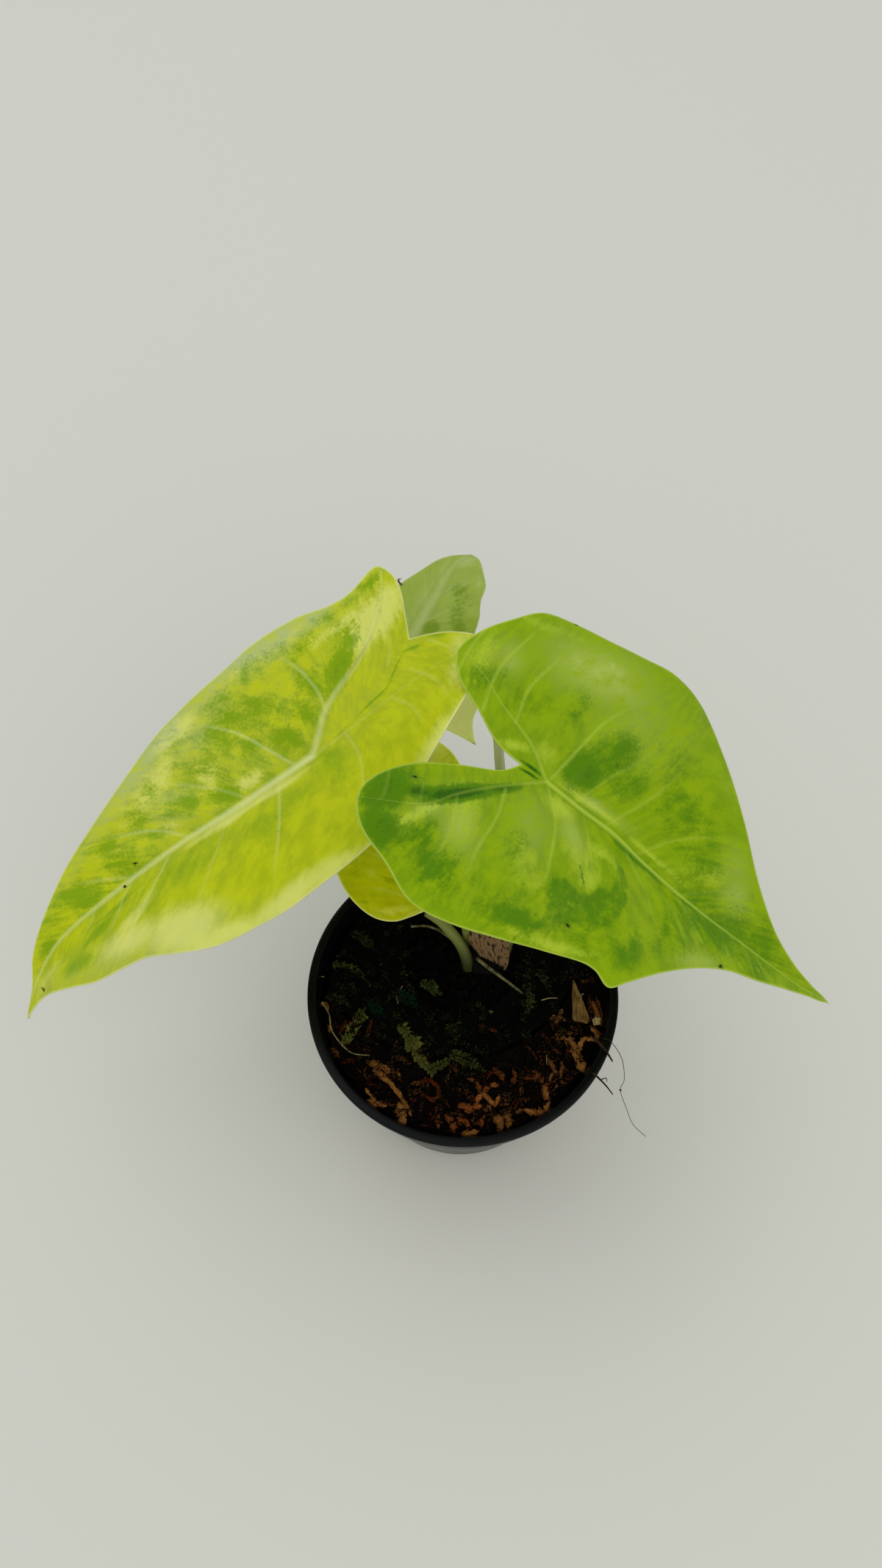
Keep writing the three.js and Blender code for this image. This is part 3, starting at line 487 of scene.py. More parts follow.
def blade_net(spec, stations, across):
    """Plane points, their cells, the half that each cell is in, and the lines of the main ribs."""
    numbers, points, faces, halves = {}, [], [], []
    seam_steps, costa_steps, midrib_steps = stations
    inner_across, outer_across = across
    ribs = [evenly([(0, 0)] + spec["midrib"] + [spec["left"]["outer"][-1]], midrib_steps)]

    def number(point):
        key = (round(point[0], 3), round(point[1], 3))
        if key not in numbers:
            numbers[key] = len(points)
            points.append(key)
        return numbers[key]

    def strip(spine, margin, cells):
        rows = [[number(a + (b - a) * j / cells) for j in range(cells + 1)] for a, b in zip(spine, margin)]
        for low, high in zip(rows, rows[1:]):
            for j in range(cells):
                cell = list(dict.fromkeys((low[j], low[j + 1], high[j + 1], high[j])))
                if len(cell) < 3:
                    continue
                p = np.array([points[k] for k in cell])
                area = np.sum(p[:, 0] * np.roll(p[:, 1], -1) - np.roll(p[:, 0], -1) * p[:, 1])
                faces.append(tuple(cell) if area > 0 else tuple(cell[::-1]))
                halves.append(side)

    for side, half in enumerate((spec["left"], spec["right"])):
        controls = half["inner"] + half["outer"]
        last, lobe_tip = len(controls) - 1, len(half["inner"]) - 1
        opposite, beside = half["at_joint"][0], lobe_tip + half["at_joint"][1]
        seam = evenly([controls[0], (0, 0)], seam_steps)
        costa = evenly([(0, 0)] + half["costa"] + [controls[lobe_tip]], costa_steps)
        walk = lambda a, b, steps: spline(controls, np.linspace(a, b, steps + 1))
        strip(seam, walk(0, opposite, seam_steps), inner_across)
        strip(costa, walk(opposite, lobe_tip, costa_steps), inner_across)
        strip(costa[::-1], walk(lobe_tip, beside, costa_steps), outer_across)
        strip(ribs[0], walk(beside, last, midrib_steps), outer_across)
        ribs.append(costa)
    return np.array(points), faces, halves, ribs


VEIN_STEPS = 20
VEIN_REACH = 60      # steps that a side vein's line runs on at both ends, to sort points by it
END_SPACING = 8.0    # past the first and the last side vein
VEIN_GAP = 9         # usual distance between two side veins
SWELL = 0.8          # rise of the tissue between two such veins
RIB_TAPER, RIB_FADE = 0.7, 0.65
UPPER_RIDGE, LOWER_RIDGE = 0.2, 0.5
MARGIN_STEPS, ZONE_STEPS = 160, 90
PATCH_FALL = 0.9
SPECK_CORE = 1.5


def vein_field(veins, x, y, tipwards):
    """Where a point is among the side veins. The phase is a whole number on each vein, spacing is the
    distance between two, and strength fades towards a vein's end."""
    offsets, reach = [], []
    for path, _ in veins:
        line = evenly(path, VEIN_STEPS)
        line = np.vstack((line[0] + VEIN_REACH * (line[0] - line[1]), line,
                          line[-1] + VEIN_REACH * (line[-1] - line[-2])))
        gap, along, side = nearest(line, x, y)
        offsets.append(gap * side * tipwards)
        reach.append((along - 1) / VEIN_STEPS)
    offsets, reach = np.array(offsets), np.array(reach)
    last = len(veins) - 1
    before = np.clip((offsets > 0).sum(0) - 1, -1, last)
    first = np.maximum(before, 0)
    lower = np.take_along_axis(offsets, first[None], 0)[0]
    upper = np.take_along_axis(offsets, np.minimum(before + 1, last)[None], 0)[0]
    between = (before >= 0) & (before < last)
    spacing = np.where(between, np.maximum(lower - upper, 0.2), END_SPACING)
    phase = first + lower / spacing
    closest = np.clip(np.rint(phase), 0, last).astype(int)
    strengths = np.array([strength for _, strength in veins])[closest]
    reach = np.take_along_axis(reach, closest[None], 0)[0]
    fade = smooth_step(reach, -0.0005, 0) * (1 - smooth_step(reach, 0.5, 1.05))
    return phase, spacing, strengths * fade


def rib_field(lines, ribs, x, y):
    """Distance to the nearest main rib, the same in half widths of the rib, and how clearly it shows."""
    to_rib, in_widths, clear = np.full(len(x), FAR), np.full(len(x), FAR), np.zeros(len(x))
    for line, (half_width, strength) in zip(lines, ribs):
        gap, along, _ = nearest(line, x, y)
        along = along / (len(line) - 1)
        widths = gap / (half_width * (1 - RIB_TAPER * along))
        clear = np.where(widths < in_widths, strength * (1 - RIB_FADE * along), clear)
        to_rib = np.minimum(to_rib, gap)
        in_widths = np.minimum(in_widths, widths)
    return to_rib, in_widths, clear


def patch_sum(patches, x, y):
    """Soft ovals, the strongest of those that overlap."""
    total = np.zeros(len(x))
    for px, py, length, width, turn, strength in patches:
        c, s = math.cos(math.radians(turn)), math.sin(math.radians(turn))
        u = ((x - px) * c + (y - py) * s) / length
        v = (-(x - px) * s + (y - py) * c) / width
        total = np.maximum(total, strength * np.exp(-PATCH_FALL * (u * u + v * v)))
    return total


def zone_sum(zones, x, y):
    """Closed outlines, run counter-clockwise, with an edge of the given width."""
    total = np.zeros(len(x))
    for outline, strength, edge in zones:
        gap, _, side = nearest(evenly(outline + outline[:1], ZONE_STEPS), x, y)
        total = np.maximum(total, strength * np.clip(0.5 + side * gap / edge, 0, 1))
    return total


def make_blade(name, material):
    spec, marks = BLADES[name], MARKS[name]
    surface = BladeSurface(spec)
    plane, faces, halves, rib_lines = blade_net(spec, *NETS[name])
    x, y = plane[:, 0], plane[:, 1]
    count = len(x)
    to_rib, in_widths, clear = rib_field(rib_lines, marks["ribs"], x, y)
    to_margin = np.min([nearest(evenly(half["inner"] + half["outer"], MARGIN_STEPS), x, y)[0]
                        for half in (spec["left"], spec["right"])], 0)
    fields = [vein_field(marks["veins"]["left"], x, y, -1), vein_field(marks["veins"]["right"], x, y, 1)]
    phase, spacing, _ = (np.where(y > 0, a, b) for a, b in zip(*fields))

    # both faces, with the tissue swollen between the veins and the ribs raised below
    scale = spec["half_width"] / 38
    swell = (0.5 - 0.5 * np.cos(2 * np.pi * phase)) * np.clip(spacing / VEIN_GAP, 0, 1.2)
    swell *= smooth_step(to_rib, 0, 5 * scale) * smooth_step(to_margin, 0, 6 * scale)
    ridge = np.exp(-in_widths ** 2)
    thick = BLADE_THICKNESS * (0.25 + 0.25 * np.clip(to_margin, 0, 1))
    normal, base = surface.normal(x, y), surface.place(x, y)
    upper = base + normal * (thick + scale * (SWELL * swell + UPPER_RIDGE * ridge))[:, None]
    lower = base + normal * (-thick + scale * (SWELL * swell - LOWER_RIDGE * ridge))[:, None]
    cells, owners = close_sheet(faces, count)
    piece = mesh_piece(name + "_leaf", np.concatenate((upper, lower)), cells, material)

    # marks on the points
    speck = np.zeros(count)
    for px, py, radius in marks["specks"]:
        speck = np.maximum(speck, SPECK_CORE - np.hypot(x - px, y - py) / radius)
    dark = np.maximum(patch_sum(marks["dark"], x, y), zone_sum(marks["zones"], x, y))
    pale, bloom = patch_sum(marks["pale"], x, y), patch_sum(marks["bloom"], x, y)
    for key, value in dict(rib=in_widths, clear=clear, to_margin=to_margin, speck=speck, dark=dark,
                           pale=pale, bloom=bloom).items():
        set_attribute(piece, key, np.tile(value, 2))
    set_attribute(piece, "under", np.repeat([0.0, 1.0], count))
    set_attribute(piece, "flat", np.tile(np.stack([x, y, 0 * x], 1) * MM, (2, 1)))

    # marks on the corners, which differ between the halves along the midrib
    corner = np.concatenate([np.array(cell) % count for cell in cells])
    on_right = np.repeat(np.array(halves)[owners], [len(cell) for cell in cells])[:, None] == 1
    rows = [np.stack((p, s, v, 0 * p + m), 1) for (p, s, v), m in zip(fields, marks["mottle"])]
    values = np.where(on_right, rows[1][corner], rows[0][corner])
    for index, key in enumerate(("phase", "spacing", "vein", "mottle")):
        set_attribute(piece, key, values[:, index], "CORNER")
    nap = np.stack((values[:, 0] * END_SPACING, 0.3 * y[corner], 0 * corner), 1)
    set_attribute(piece, "nap", nap * MM, "CORNER")
    install(piece, name)


LEAF_MARKS = ("rib", "clear", "to_margin", "speck", "dark", "pale", "bloom", "under", "phase", "spacing",
              "vein", "mottle")
SPECK_BROWN = "#1d1a0c"


def leaf_material(name, tissue, deeper, dark, deep, pale, rib, margin, under, bloom="#b4c262", edge=0.16,
                  gloss=0.38, soft=0.25):
    """Living leaf: waxy skin over soft tissue. The skin gives a broad dull sheen, and the tissue its
    patches of more and less green, broken along the side veins. edge is how softly a patch ends, and soft
    how much light the tissue lets through."""
    material, shader, node = new_material(
        name, Roughness=gloss, IOR=1.42, Specular_IOR_Level=0.1, Subsurface_Weight=soft,
        Subsurface_Radius=(0.9, 1.0, 0.1), Subsurface_Scale=1.2 * MM)
    mark = {key: node("Attribute", {"attribute_name": key}, result="Fac") for key in LEAF_MARKS}
    flat, nap = (node("Attribute", {"attribute_name": key}, result="Vector") for key in ("flat", "nap"))

    # grain sizes in millimetres: streaks along the side veins, cells, and clouds of colour
    streaks, grain, clouds = (
        node("TexNoise", {"Scale": 1 / (size * MM), "Detail": detail, "Roughness": rough},
             {"Vector": where})
        for size, detail, rough, where in ((1.5, 5.0, 0.65, nap), (0.7, 3.0, 0.6, flat),
                                           (8, 4.0, 0.6, flat)))
    broken = streaks
    for pattern, strength in ((grain, 0.7), (clouds, 1.2)):
        broken = node("Math", {"operation": "MULTIPLY_ADD", 1: strength}, {0: pattern, 2: broken})
    broken = node("Math", {"operation": "SUBTRACT", 1: 1.45}, {0: broken})
    broken = node("Math", {"operation": "MULTIPLY"}, {0: broken, 1: mark["mottle"]})
    darkness = node("Math", {"operation": "MULTIPLY_ADD", 1: 0.85}, {0: broken, 2: mark["dark"]})
    paleness = node("Math", {"operation": "MULTIPLY_ADD", 1: -0.7}, {0: broken, 2: mark["pale"]})
    drift = node("Mix", {0: 0.55}, {2: clouds, 3: streaks})
    wave = node("Math", {"operation": "PINGPONG", 1: 0.5}, {0: mark["phase"]})
    to_vein = node("Math", {"operation": "MULTIPLY"}, {0: wave, 1: mark["spacing"]})

    # how much of each layer shows: the field it follows, where it starts, where it is whole, its most
    share = {}
    # foot is a painted shade: the dark colour laid in a thin band along both sides of each main rib.
    for key, field, start, whole, most in (
            ("cloud", drift, 0.4, 0.62, 1.0), ("pale", paleness, 0.2, 0.85, 0.9),
            ("dark", darkness, 0.5 - edge, 0.5 + edge, 0.92), ("deep", darkness, 0.85, 1.4, 0.9),
            ("vein", to_vein, 0.75, 0.0, 1.0), ("foot", mark["rib"], 2.6, 1.5, 0.3),
            ("rib", mark["rib"], 1.7, 0.0, 1.0), ("margin", mark["to_margin"], 0.45, 0.1, 0.7)):
        share[key] = node("MapRange", {"interpolation_type": "SMOOTHSTEP", "From Min": start,
                                       "From Max": whole, "To Max": most}, {"Value": field})
    for key, field, start, whole in (("bloom", drift, 0.36, 0.64), ("speck", mark["speck"], 0.2, 0.8)):
        share[key] = node("MapRange", {"From Min": start, "From Max": whole}, {"Value": field})
    for key, by in (("bloom", "bloom"), ("vein", "vein"), ("foot", "clear"), ("rib", "clear")):
        share[key] = node("Math", {"operation": "MULTIPLY"}, {0: share[key], 1: mark[by]})
    relief = node("Math", {"operation": "MULTIPLY_ADD", 1: -0.8}, {0: share["vein"], 2: streaks})
    for key, field, strength in (("vein", share["vein"], 0.38), ("under", mark["under"], 0.65)):
        share[key] = node("Math", {"operation": "MULTIPLY", 1: strength}, {0: field})

    # bloom is a painted highlight: a pale sheen of the skin's gloss mixed into the colour in streaks.
    colour = node("Mix", {"data_type": "RGBA", 6: tissue, 7: deeper}, {0: share["cloud"]}, 2)
    for key, shade in (("pale", pale), ("bloom", bloom), ("dark", dark), ("deep", deep), ("vein", rib),
                       ("foot", dark), ("rib", rib), ("margin", margin), ("speck", SPECK_BROWN),
                       ("under", under)):
        colour = node("Mix", {"data_type": "RGBA", 7: shade}, {0: share[key], 6: colour}, 2)
    return finish_surface(material, shader, colour, relief, 0.06)


# Pot

POT = dict(height=60, rim=40, base=28, wall=1.3, floor=1.8, step_z=46, step=36.6, step_width=0.9, neck=38.1,
           lip=1.6, holes=6, hole=3.2, hole_circle=20)
POT_SEGMENTS, HOLE_SEGMENTS = 128, 32
DRILL_LENGTH = 20
SEAM_GAP = 0.004     # below this, two of the spin's points are one


def spun(name, profile, segments, material):
    """A solid of revolution: the profile's points are joined in edit mode and spun round Z."""
    mesh = bpy.data.meshes.new(name)
    shape = bmesh.new()
    corners = [shape.verts.new((r * MM, 0, z * MM)) for r, z in profile]
    for a, b in zip(corners, corners[1:]):
        shape.edges.new((a, b))
    shape.to_mesh(mesh)
    shape.free()
    mesh.materials.append(material)
    piece = add_object(name, mesh)
    select_only(piece)
    bpy.ops.object.mode_set(mode="EDIT")
    bpy.ops.mesh.select_all(action="SELECT")
    bpy.ops.mesh.spin(steps=segments, angle=2 * math.pi, center=(0, 0, 0), axis=(0, 0, 1))
    bpy.ops.mesh.select_all(action="SELECT")
    bpy.ops.mesh.remove_doubles(threshold=SEAM_GAP * MM)
    bpy.ops.mesh.normals_make_consistent(inside=False)
    bpy.ops.object.mode_set(mode="OBJECT")
    return piece


def arc(centre, radius, start, end, count=4):
    """Points of an arc in a profile, by its start and end angles in degrees."""
    angles = [math.radians(start + (end - start) * i / count) for i in range(count + 1)]
    return [(centre[0] + radius * math.cos(a), centre[1] + radius * math.sin(a)) for a in angles]


def make_pot(material):
    p = POT
    top, lip = p["height"], p["height"] - p["lip"]
    profile = [(0, 0), (p["base"] - 1.5, 0)]
    profile += arc((p["base"] - 1, 1), 1, -90, -10)
    profile += [(p["step"] - 0.15, p["step_z"] - 0.4), (p["step"], p["step_z"])]
    profile += arc((p["step"] + 0.4, p["step_z"] + 0.9), 0.5, -60, 0)
    profile += [(p["neck"] - 0.1, lip - 0.4), (p["neck"] + 0.2, lip)]
    profile += arc((p["rim"] - 0.45, lip + 0.45), 0.45, -90, 0)
    profile += arc((p["rim"] - 0.55, top - 0.55), 0.55, 0, 90)
    profile += arc((p["neck"] + 0.1, top - 0.5), 0.5, 90, 180)
    profile += [(p["neck"] - p["wall"], lip - 1),
                (p["step"] + p["step_width"] - p["wall"], p["step_z"] + 1.6),
                (p["step"] - p["wall"], p["step_z"] + 0.4), (p["base"] - p["wall"], p["floor"]),
                (0, p["floor"])]
    piece = spun("nursery_pot", profile, POT_SEGMENTS, material)
    for i in range(p["holes"]):
        angle = 2 * math.pi * (i + 0.5) / p["holes"]
        bpy.ops.mesh.primitive_cylinder_add(
            vertices=HOLE_SEGMENTS, radius=p["hole"] * MM, depth=DRILL_LENGTH * MM,
            location=(p["hole_circle"] * math.cos(angle) * MM, p["hole_circle"] * math.sin(angle) * MM, 0))
        drill = bpy.context.object
        cut = piece.modifiers.new("drain_hole", "BOOLEAN")
        cut.object = drill
        cut.operation = "DIFFERENCE"
        cut.solver = "EXACT"
        bpy.context.view_layer.objects.active = piece
        bpy.ops.object.modifier_apply(modifier=cut.name)
        bpy.data.objects.remove(drill)
    select_only(piece)
    bpy.ops.object.shade_smooth_by_angle(angle=math.radians(40))
    install(piece, "pot")


def pot_material():
    """Injection-moulded polypropylene, black with a slight blue: a dull gloss that picks up the floor."""
    material, shader, node = new_material("moulded_polypropylene", IOR=1.49, Specular_IOR_Level=0.12)
    where = node("TexCoord", result="Object")
    dust, scuff = (node("TexNoise", {"Scale": 1 / (size * MM), "Detail": detail}, {"Vector": where})
                   for size, detail in ((9, 4.0), (0.7, 3.0)))
    colour = node("Mix", {"data_type": "RGBA", 6: "#020304", 7: "#080a0b"}, {0: dust}, 2)
    roughness = node("Math", {"operation": "MULTIPLY_ADD", 1: 0.16, 2: 0.2}, {0: dust})
    return finish_surface(material, shader, colour, scuff, 0.012, roughness)


# Stems and other tubes

def tube_shape(line, radii, sides=14, steps=48, pointed=False, flat=1.0):
    """Points and faces of a round tapered stem along a smooth line. flat squeezes it from above."""
    line = np.asarray(line, float)
    centres = spline(line, np.linspace(0, len(line) - 1, steps + 1))
    radii = np.interp(np.linspace(0, 1, steps + 1), np.linspace(0, 1, len(radii)), radii)
    ahead = headings(centres)
    out = np.cross(ahead[0], (0.05, 0.03, 1.0))
    points = []
    for i in range(steps + 1):
        out = out - ahead[i] * (out @ ahead[i])
        out /= np.linalg.norm(out)
        other = np.cross(ahead[i], out) * flat
        points += [centres[i] + radii[i] * (c * out + s * other) for c, s in circle(1, sides)]
    faces = grid_cells(steps + 1, sides, True, True) + [tuple(range(sides))[::-1]]
    last = steps * sides
    if pointed:
        points.append(centres[-1] + ahead[-1] * radii[-1] * 1.5)
        faces += [(last + j, last + (j + 1) % sides, len(points) - 1) for j in range(sides)]
    else:
        faces.append(tuple(range(last, last + sides)))
    return np.array(points), faces


def make_tube(name, material, slot, node, *shape, **detail):
    install(mesh_piece(name, *tube_shape(*shape, **detail), material), node)


STALKS = {
    "stalk_left": ([(5, 12, 51), (4.8, 13.2, 66), (3.5, 13.5, 78), (-2, 16, 90), (-13, 23, 100.5),
                    (-26, 33, 105.5), (-34.6, 38.3, 109)], (1.9, 1.1)),
    "stalk_right": ([(10.6, 10.6, 51), (11.3, 11.2, 62), (13, 15, 84), (14.5, 19.5, 103), (16.8, 23.8, 119),
                     (17.4, 24.4, 121.8)], (1.9, 1.1)),
    "stalk_back": ([(8, 15.2, 51), (9, 18, 61), (11.3, 32, 73), (9.8, 50, 86), (7.6, 62, 97), (0, 71, 103),
                    (-10, 75, 104.5), (-13, 76, 105.6)], (1.7, 0.9)),
    "stalk_low": ([(1.4, 7, 51), (1.6, 7.2, 57), (-0.4, 10.6, 63), (-5, 14.2, 68.6), (-9.2, 16.2, 71.4)],
                  (1.8, 1.2)),
    "stalk_hanging": ([(1.8, 12.6, 51), (1.2, 13.2, 64), (0, 14, 78), (-4, 20, 87), (-9.5, 32, 94),
                       (-12.5, 46, 101.3), (-11.6, 57, 104.8), (-11, 60.6, 105.6)], (1.4, 0.8)),
}

THREADS = {
    "pale_spike": ([(3, 10, 58.4), (4.6, 7.3, 60.4), (7.5, 4.9, 60.4), (11, 2.3, 59.8), (15.2, -0.8, 59)],
                   (0.6, 0.32)),
    "root_left": ([(-13.6, 17.8, 58.8), (-8.7, 17.4, 59.6), (-4, 15, 59.4), (-0.2, 12.2, 57.4)],
                   (0.3, 0.5)),
    "root_curled": ([(-36, -3.9, 60.6), (-33.9, -7.4, 61.2), (-32.9, -11.8, 60.8), (-28.4, -16.8, 60.4),
                     (-23.6, -17.1, 58.4)], (0.17, 0.14)),
}
HOOK = [(18.6, 10.0), (19.3, 11.1), (20.2, 11.7), (20.8, 11.2)]    # on the left margin of the back blade
# Over the upper heights the skin turns pale: partly its own colour and partly painted light against the
# blades' shade.
STALK_FOOT, STALK_PAINTED_LIGHT = (58, 69), (70, 100)    # heights where the skin turns green, and then pale


def stalk_material():
    """Living leaf stalk: smooth waxy skin, dark at the foot and pale up to the blade, with faint
    flecks. Near the blade the pale is partly the skin's own colour and partly painted light, where the
    blades shade the stalk."""
    material, shader, node = new_material(
        "leaf_stalk_skin", Roughness=0.38, IOR=1.42, Specular_IOR_Level=0.25, Subsurface_Weight=0.2,
        Subsurface_Radius=(0.9, 1.0, 0.3), Subsurface_Scale=1.0 * MM)
    where = node("TexCoord", result="Object")
    level = node("SeparateXYZ", links={"Vector": where}, result="Z")
    flecks = node("TexNoise", {"Scale": 1 / (1.2 * MM), "Detail": 3.0}, {"Vector": where})
    foot, top = (node("MapRange", {"interpolation_type": "SMOOTHSTEP", "From Min": low * MM,
                                   "From Max": high * MM}, {"Value": level})
                 for low, high in (STALK_FOOT, STALK_PAINTED_LIGHT))
    fleck_part = node("Math", {"operation": "MULTIPLY", 1: 0.35}, {0: flecks})
    colour = node("Mix", {"data_type": "RGBA", 6: "#22260c", 7: "#7e8440"}, {0: foot}, 2)
    # e6eab2 up to the blade is partly painted light.
    for shade, part in (("#e6eab2", top), ("#566222", fleck_part)):
        colour = node("Mix", {"data_type": "RGBA", 7: shade}, {0: part, 6: colour}, 2)
    return finish_surface(material, shader, colour, flecks, 0.04)


def dry_material(name, low, high, size, roughness=0.85, relief=0.12, stretch=(1, 1, 1)):
    """Dry plant matter, such as root, bark and cork: dull, with two shades in grains or fibres of the
    given size."""
    material, shader, node = new_material(name, Roughness=roughness, Specular_IOR_Level=0.07)
    where = node("TexCoord", result="Object")
    where = node("Mapping", {"Scale": stretch}, {"Vector": where})
    grains = node("TexNoise", {"Scale": 1 / (size * MM), "Detail": 4.0}, {"Vector": where})
    part = node("MapRange", {"interpolation_type": "SMOOTHSTEP", "From Min": 0.35, "From Max": 0.65},
                {"Value": grains})
    colour = node("Mix", {"data_type": "RGBA", 6: low, 7: high}, {0: part}, 2)
    return finish_surface(material, shader, colour, grains, relief)


# Fill, moss and litter. The levels and the edges of the moss are those of the part's source.

FILL = dict(edge=54, mound=2.4, ripple=0.5, radius=36.1, clearance=0.45)
MAT = dict(lift=0.65, thickness=1.1, underside=0.3, seam=1.1, brown_from=184, brown_to=376, brown_width=18,
           brown_inset=3, rings=14, columns=180)
BARE = dict(centre=(0, 9), radius=15)
CROWN = dict(centre=(6.3, 11), radius=7.6, bottom=46, top=60.5)
CRUMBS = dict(count=900, sizes=(0.35, 0.45, 0.6, 0.9, 1.3), spread=1.06, tones=(0.05, 0.5))

# Random shoots of the moss: where they grow, and the ranges of their sizes and tones.
SHOOTS = dict(
    outer=36, within=35.4, crown_gap=1, reach=(2.6, 5.6), root_lift=-0.4, middle_lift=(0.5, 1.3),
    end_lift=(0.1, 1.2), feather_share=0.25, feather_width=(1.6, 2.6), feather_tone=(0.08, 0.3),
    feather_hue=(0.2, 1), finger_girth=(0.3, 0.8), finger_tone=(0.02, 0.3), finger_hue=(0, 0.9))


def fill_level(x, y):
    r = np.hypot(x, y) / FILL["radius"]
    ripple = np.sin(0.21 * x + 0.4) * np.cos(0.23 * y) + 0.4 * np.sin(0.33 * (x - y))
    return (FILL["edge"] + FILL["mound"] * (1 - r * r)
            + FILL["ripple"] * ripple * np.minimum(1, 4 * np.abs(1 - r)))


def brown_inner_radius(degrees):
    """Inner edge of the brown crescent, whose bearings run on past 360."""
    degrees = np.where(degrees < MAT["brown_to"] - 360, degrees + 360, degrees)
    t = np.clip((degrees - MAT["brown_from"]) / (MAT["brown_to"] - MAT["brown_from"]), 0, 1)
    return FILL["radius"] - MAT["brown_width"] * np.sin(np.pi * t) ** 0.6


def moss_kind(x, y):
    """Which moss grows at a place, if any."""
    if math.hypot(x - BARE["centre"][0], y - BARE["centre"][1]) < BARE["radius"]:
        return None
    inner = brown_inner_radius(math.degrees(math.atan2(y, x)) % 360)
    return "brown" if math.hypot(x, y) > inner else "green"


def roughness_at(x, y, size):
    return noise.noise(Vector((x / size, y / size, 0.5)))


class Heap:
    """Many small closed shapes in one mesh, each with a tone from dark to light and a hue."""

    def __init__(self):
        self.points, self.faces, self.tones, self.hues = [], [], [], []
        self.count = 0

    def add(self, points, faces, tone=1, hue=1):
        self.points.append(np.asarray(points, float))
        self.faces += [tuple(i + self.count for i in face) for face in faces]
        self.count += len(points)
        self.tones.append(np.broadcast_to(np.asarray(tone, float), len(points)))
        self.hues.append(np.full(len(points), float(hue)))

    def piece(self, name, material, smooth=False):
        made = mesh_piece(name, np.concatenate(self.points), self.faces, material, smooth)
        set_attribute(made, "tone", np.concatenate(self.tones))
        set_attribute(made, "hue", np.concatenate(self.hues))
        return made


CRUMB_RINGS = ((-0.5, 0.8), (0.1, 1.0), (0.6, 0.6))    # level and width, in crumb sizes
FINGER_GIRTHS = (0.5, 1.0, 0.75, 0.9, 0.2)
FINGER_SIDES, FINGER_FLAT = 7, 0.65
FINGER_BUMPS, BUMP_SIZE = 0.6, 1.3                     # in girths
LEAF_TURNS = ((-48, 5, 48), (-62, 62))                 # of the leaves at even and odd steps of a shoot
# Tone at a moss leaf's root, sides, tip, top and underside: painted light, lightest at the tip, darkest
# beneath.
PAINTED_LEAF_LIGHT = np.array([0.5, 0.8, 1.25, 0.8, 1.0, 0.4])
LEAF_CELLS = [(0, 1, 4), (1, 2, 4), (2, 3, 4), (3, 0, 4), (1, 0, 5), (2, 1, 5), (3, 2, 5), (0, 3, 5)]


def add_crumb(heap, place, size, rng, tone=1, hue=1):
    """An irregular lump of three rings of five corners, pushed in and out."""
    corners = []
    turn = rng.uniform(0, math.pi)
    for level, spread in CRUMB_RINGS:
        for j in range(5):
            a = turn + 2 * math.pi * (j + 0.5 * level) / 5
            r = size * spread * rng.uniform(0.7, 1.15)
            corners.append((place[0] + r * math.cos(a), place[1] + r * math.sin(a),
                            place[2] + size * (level + rng.uniform(-0.1, 0.1))))
    faces = grid_cells(3, 5, True, True) + [(4, 3, 2, 1, 0), (10, 11, 12, 13, 14)]
    heap.add(corners, faces, tone, hue)


def add_finger(heap, line, girth, tone, hue):
    """A fleshy pointed lobe of dead moss. Its tone rises towards the tip and the upper side: painted
    highlight on tips and tops, painted shade below.
    """
    steps = max(6, 4 * (len(line) - 1))
    girths = [girth * share for share in FINGER_GIRTHS]
    points, faces = tube_shape(line, girths, FINGER_SIDES, steps, True, FINGER_FLAT)
    along = np.minimum(np.arange(len(points)) // FINGER_SIDES / steps, 1)
    centres = spline(line, along * (len(line) - 1))
    painted_top_light = np.clip((points - centres)[:, 2] / girth, -1, 1)
    points = [p + FINGER_BUMPS * girth * np.array(noise.noise_vector(Vector(p) / (BUMP_SIZE * girth)))
              for p in points]
    # painted light: lighter towards the tip and on top, darker beneath
    heap.add(points, faces, tone * (0.55 + 0.5 * along + 0.45 * painted_top_light), hue)


def add_feather(heap, line, width, tone, hue, rng, spacing=0.55):
    """A moss shoot: a thin stem with pointed leaves that overlap along both sides and the top."""
    length = np.sum(np.linalg.norm(np.diff(np.asarray(line, float), axis=0), axis=1))
    steps = max(4, int(length / spacing))
    heap.add(*tube_shape(line, [0.16 * width, 0.1 * width], 3, 5, True), 0.5 * tone, hue)
    centres = evenly(line, steps)
    ahead = headings(centres)
    for i in range(steps + 1):
        t = i / steps
        out = np.cross(ahead[i], (0, 0, 1))
        out /= max(np.linalg.norm(out), 1e-6)
        up = np.cross(out, ahead[i])
        fullness = 0.45 + 0.75 * math.sin(math.pi * min(1, 0.25 + 0.85 * t))
        reach = width * 0.62 * fullness * rng.uniform(0.6, 1.3)
        for turn in LEAF_TURNS[i % 2]:
            spread = math.radians(turn + rng.uniform(-10, 10))
            leaf = math.cos(spread) * ahead[i] + math.sin(spread) * out + rng.uniform(0.0, 0.45) * up
            leaf /= np.linalg.norm(leaf)
            half = 0.27 * reach
            aside = half * np.cross(leaf, up)
            root = centres[i] - 0.15 * reach * leaf
            belly = root + 0.45 * reach * leaf
            corners = [root, belly + aside, root + 0.9 * reach * leaf + 0.1 * up * reach, belly - aside,
                       belly + 0.5 * half * up, belly - 0.3 * half * up]
            heap.add(corners, LEAF_CELLS, tone * PAINTED_LEAF_LIGHT * rng.uniform(0.75, 1.2), hue)


def raised(plan, lift=0.5):
    """A line over the moss from its plan. A point may hold its own lift."""
    return [(x, y, float(fill_level(x, y)) + MAT["lift"] + MAT["thickness"] + (own[0] if own else lift))
            for x, y, *own in plan]
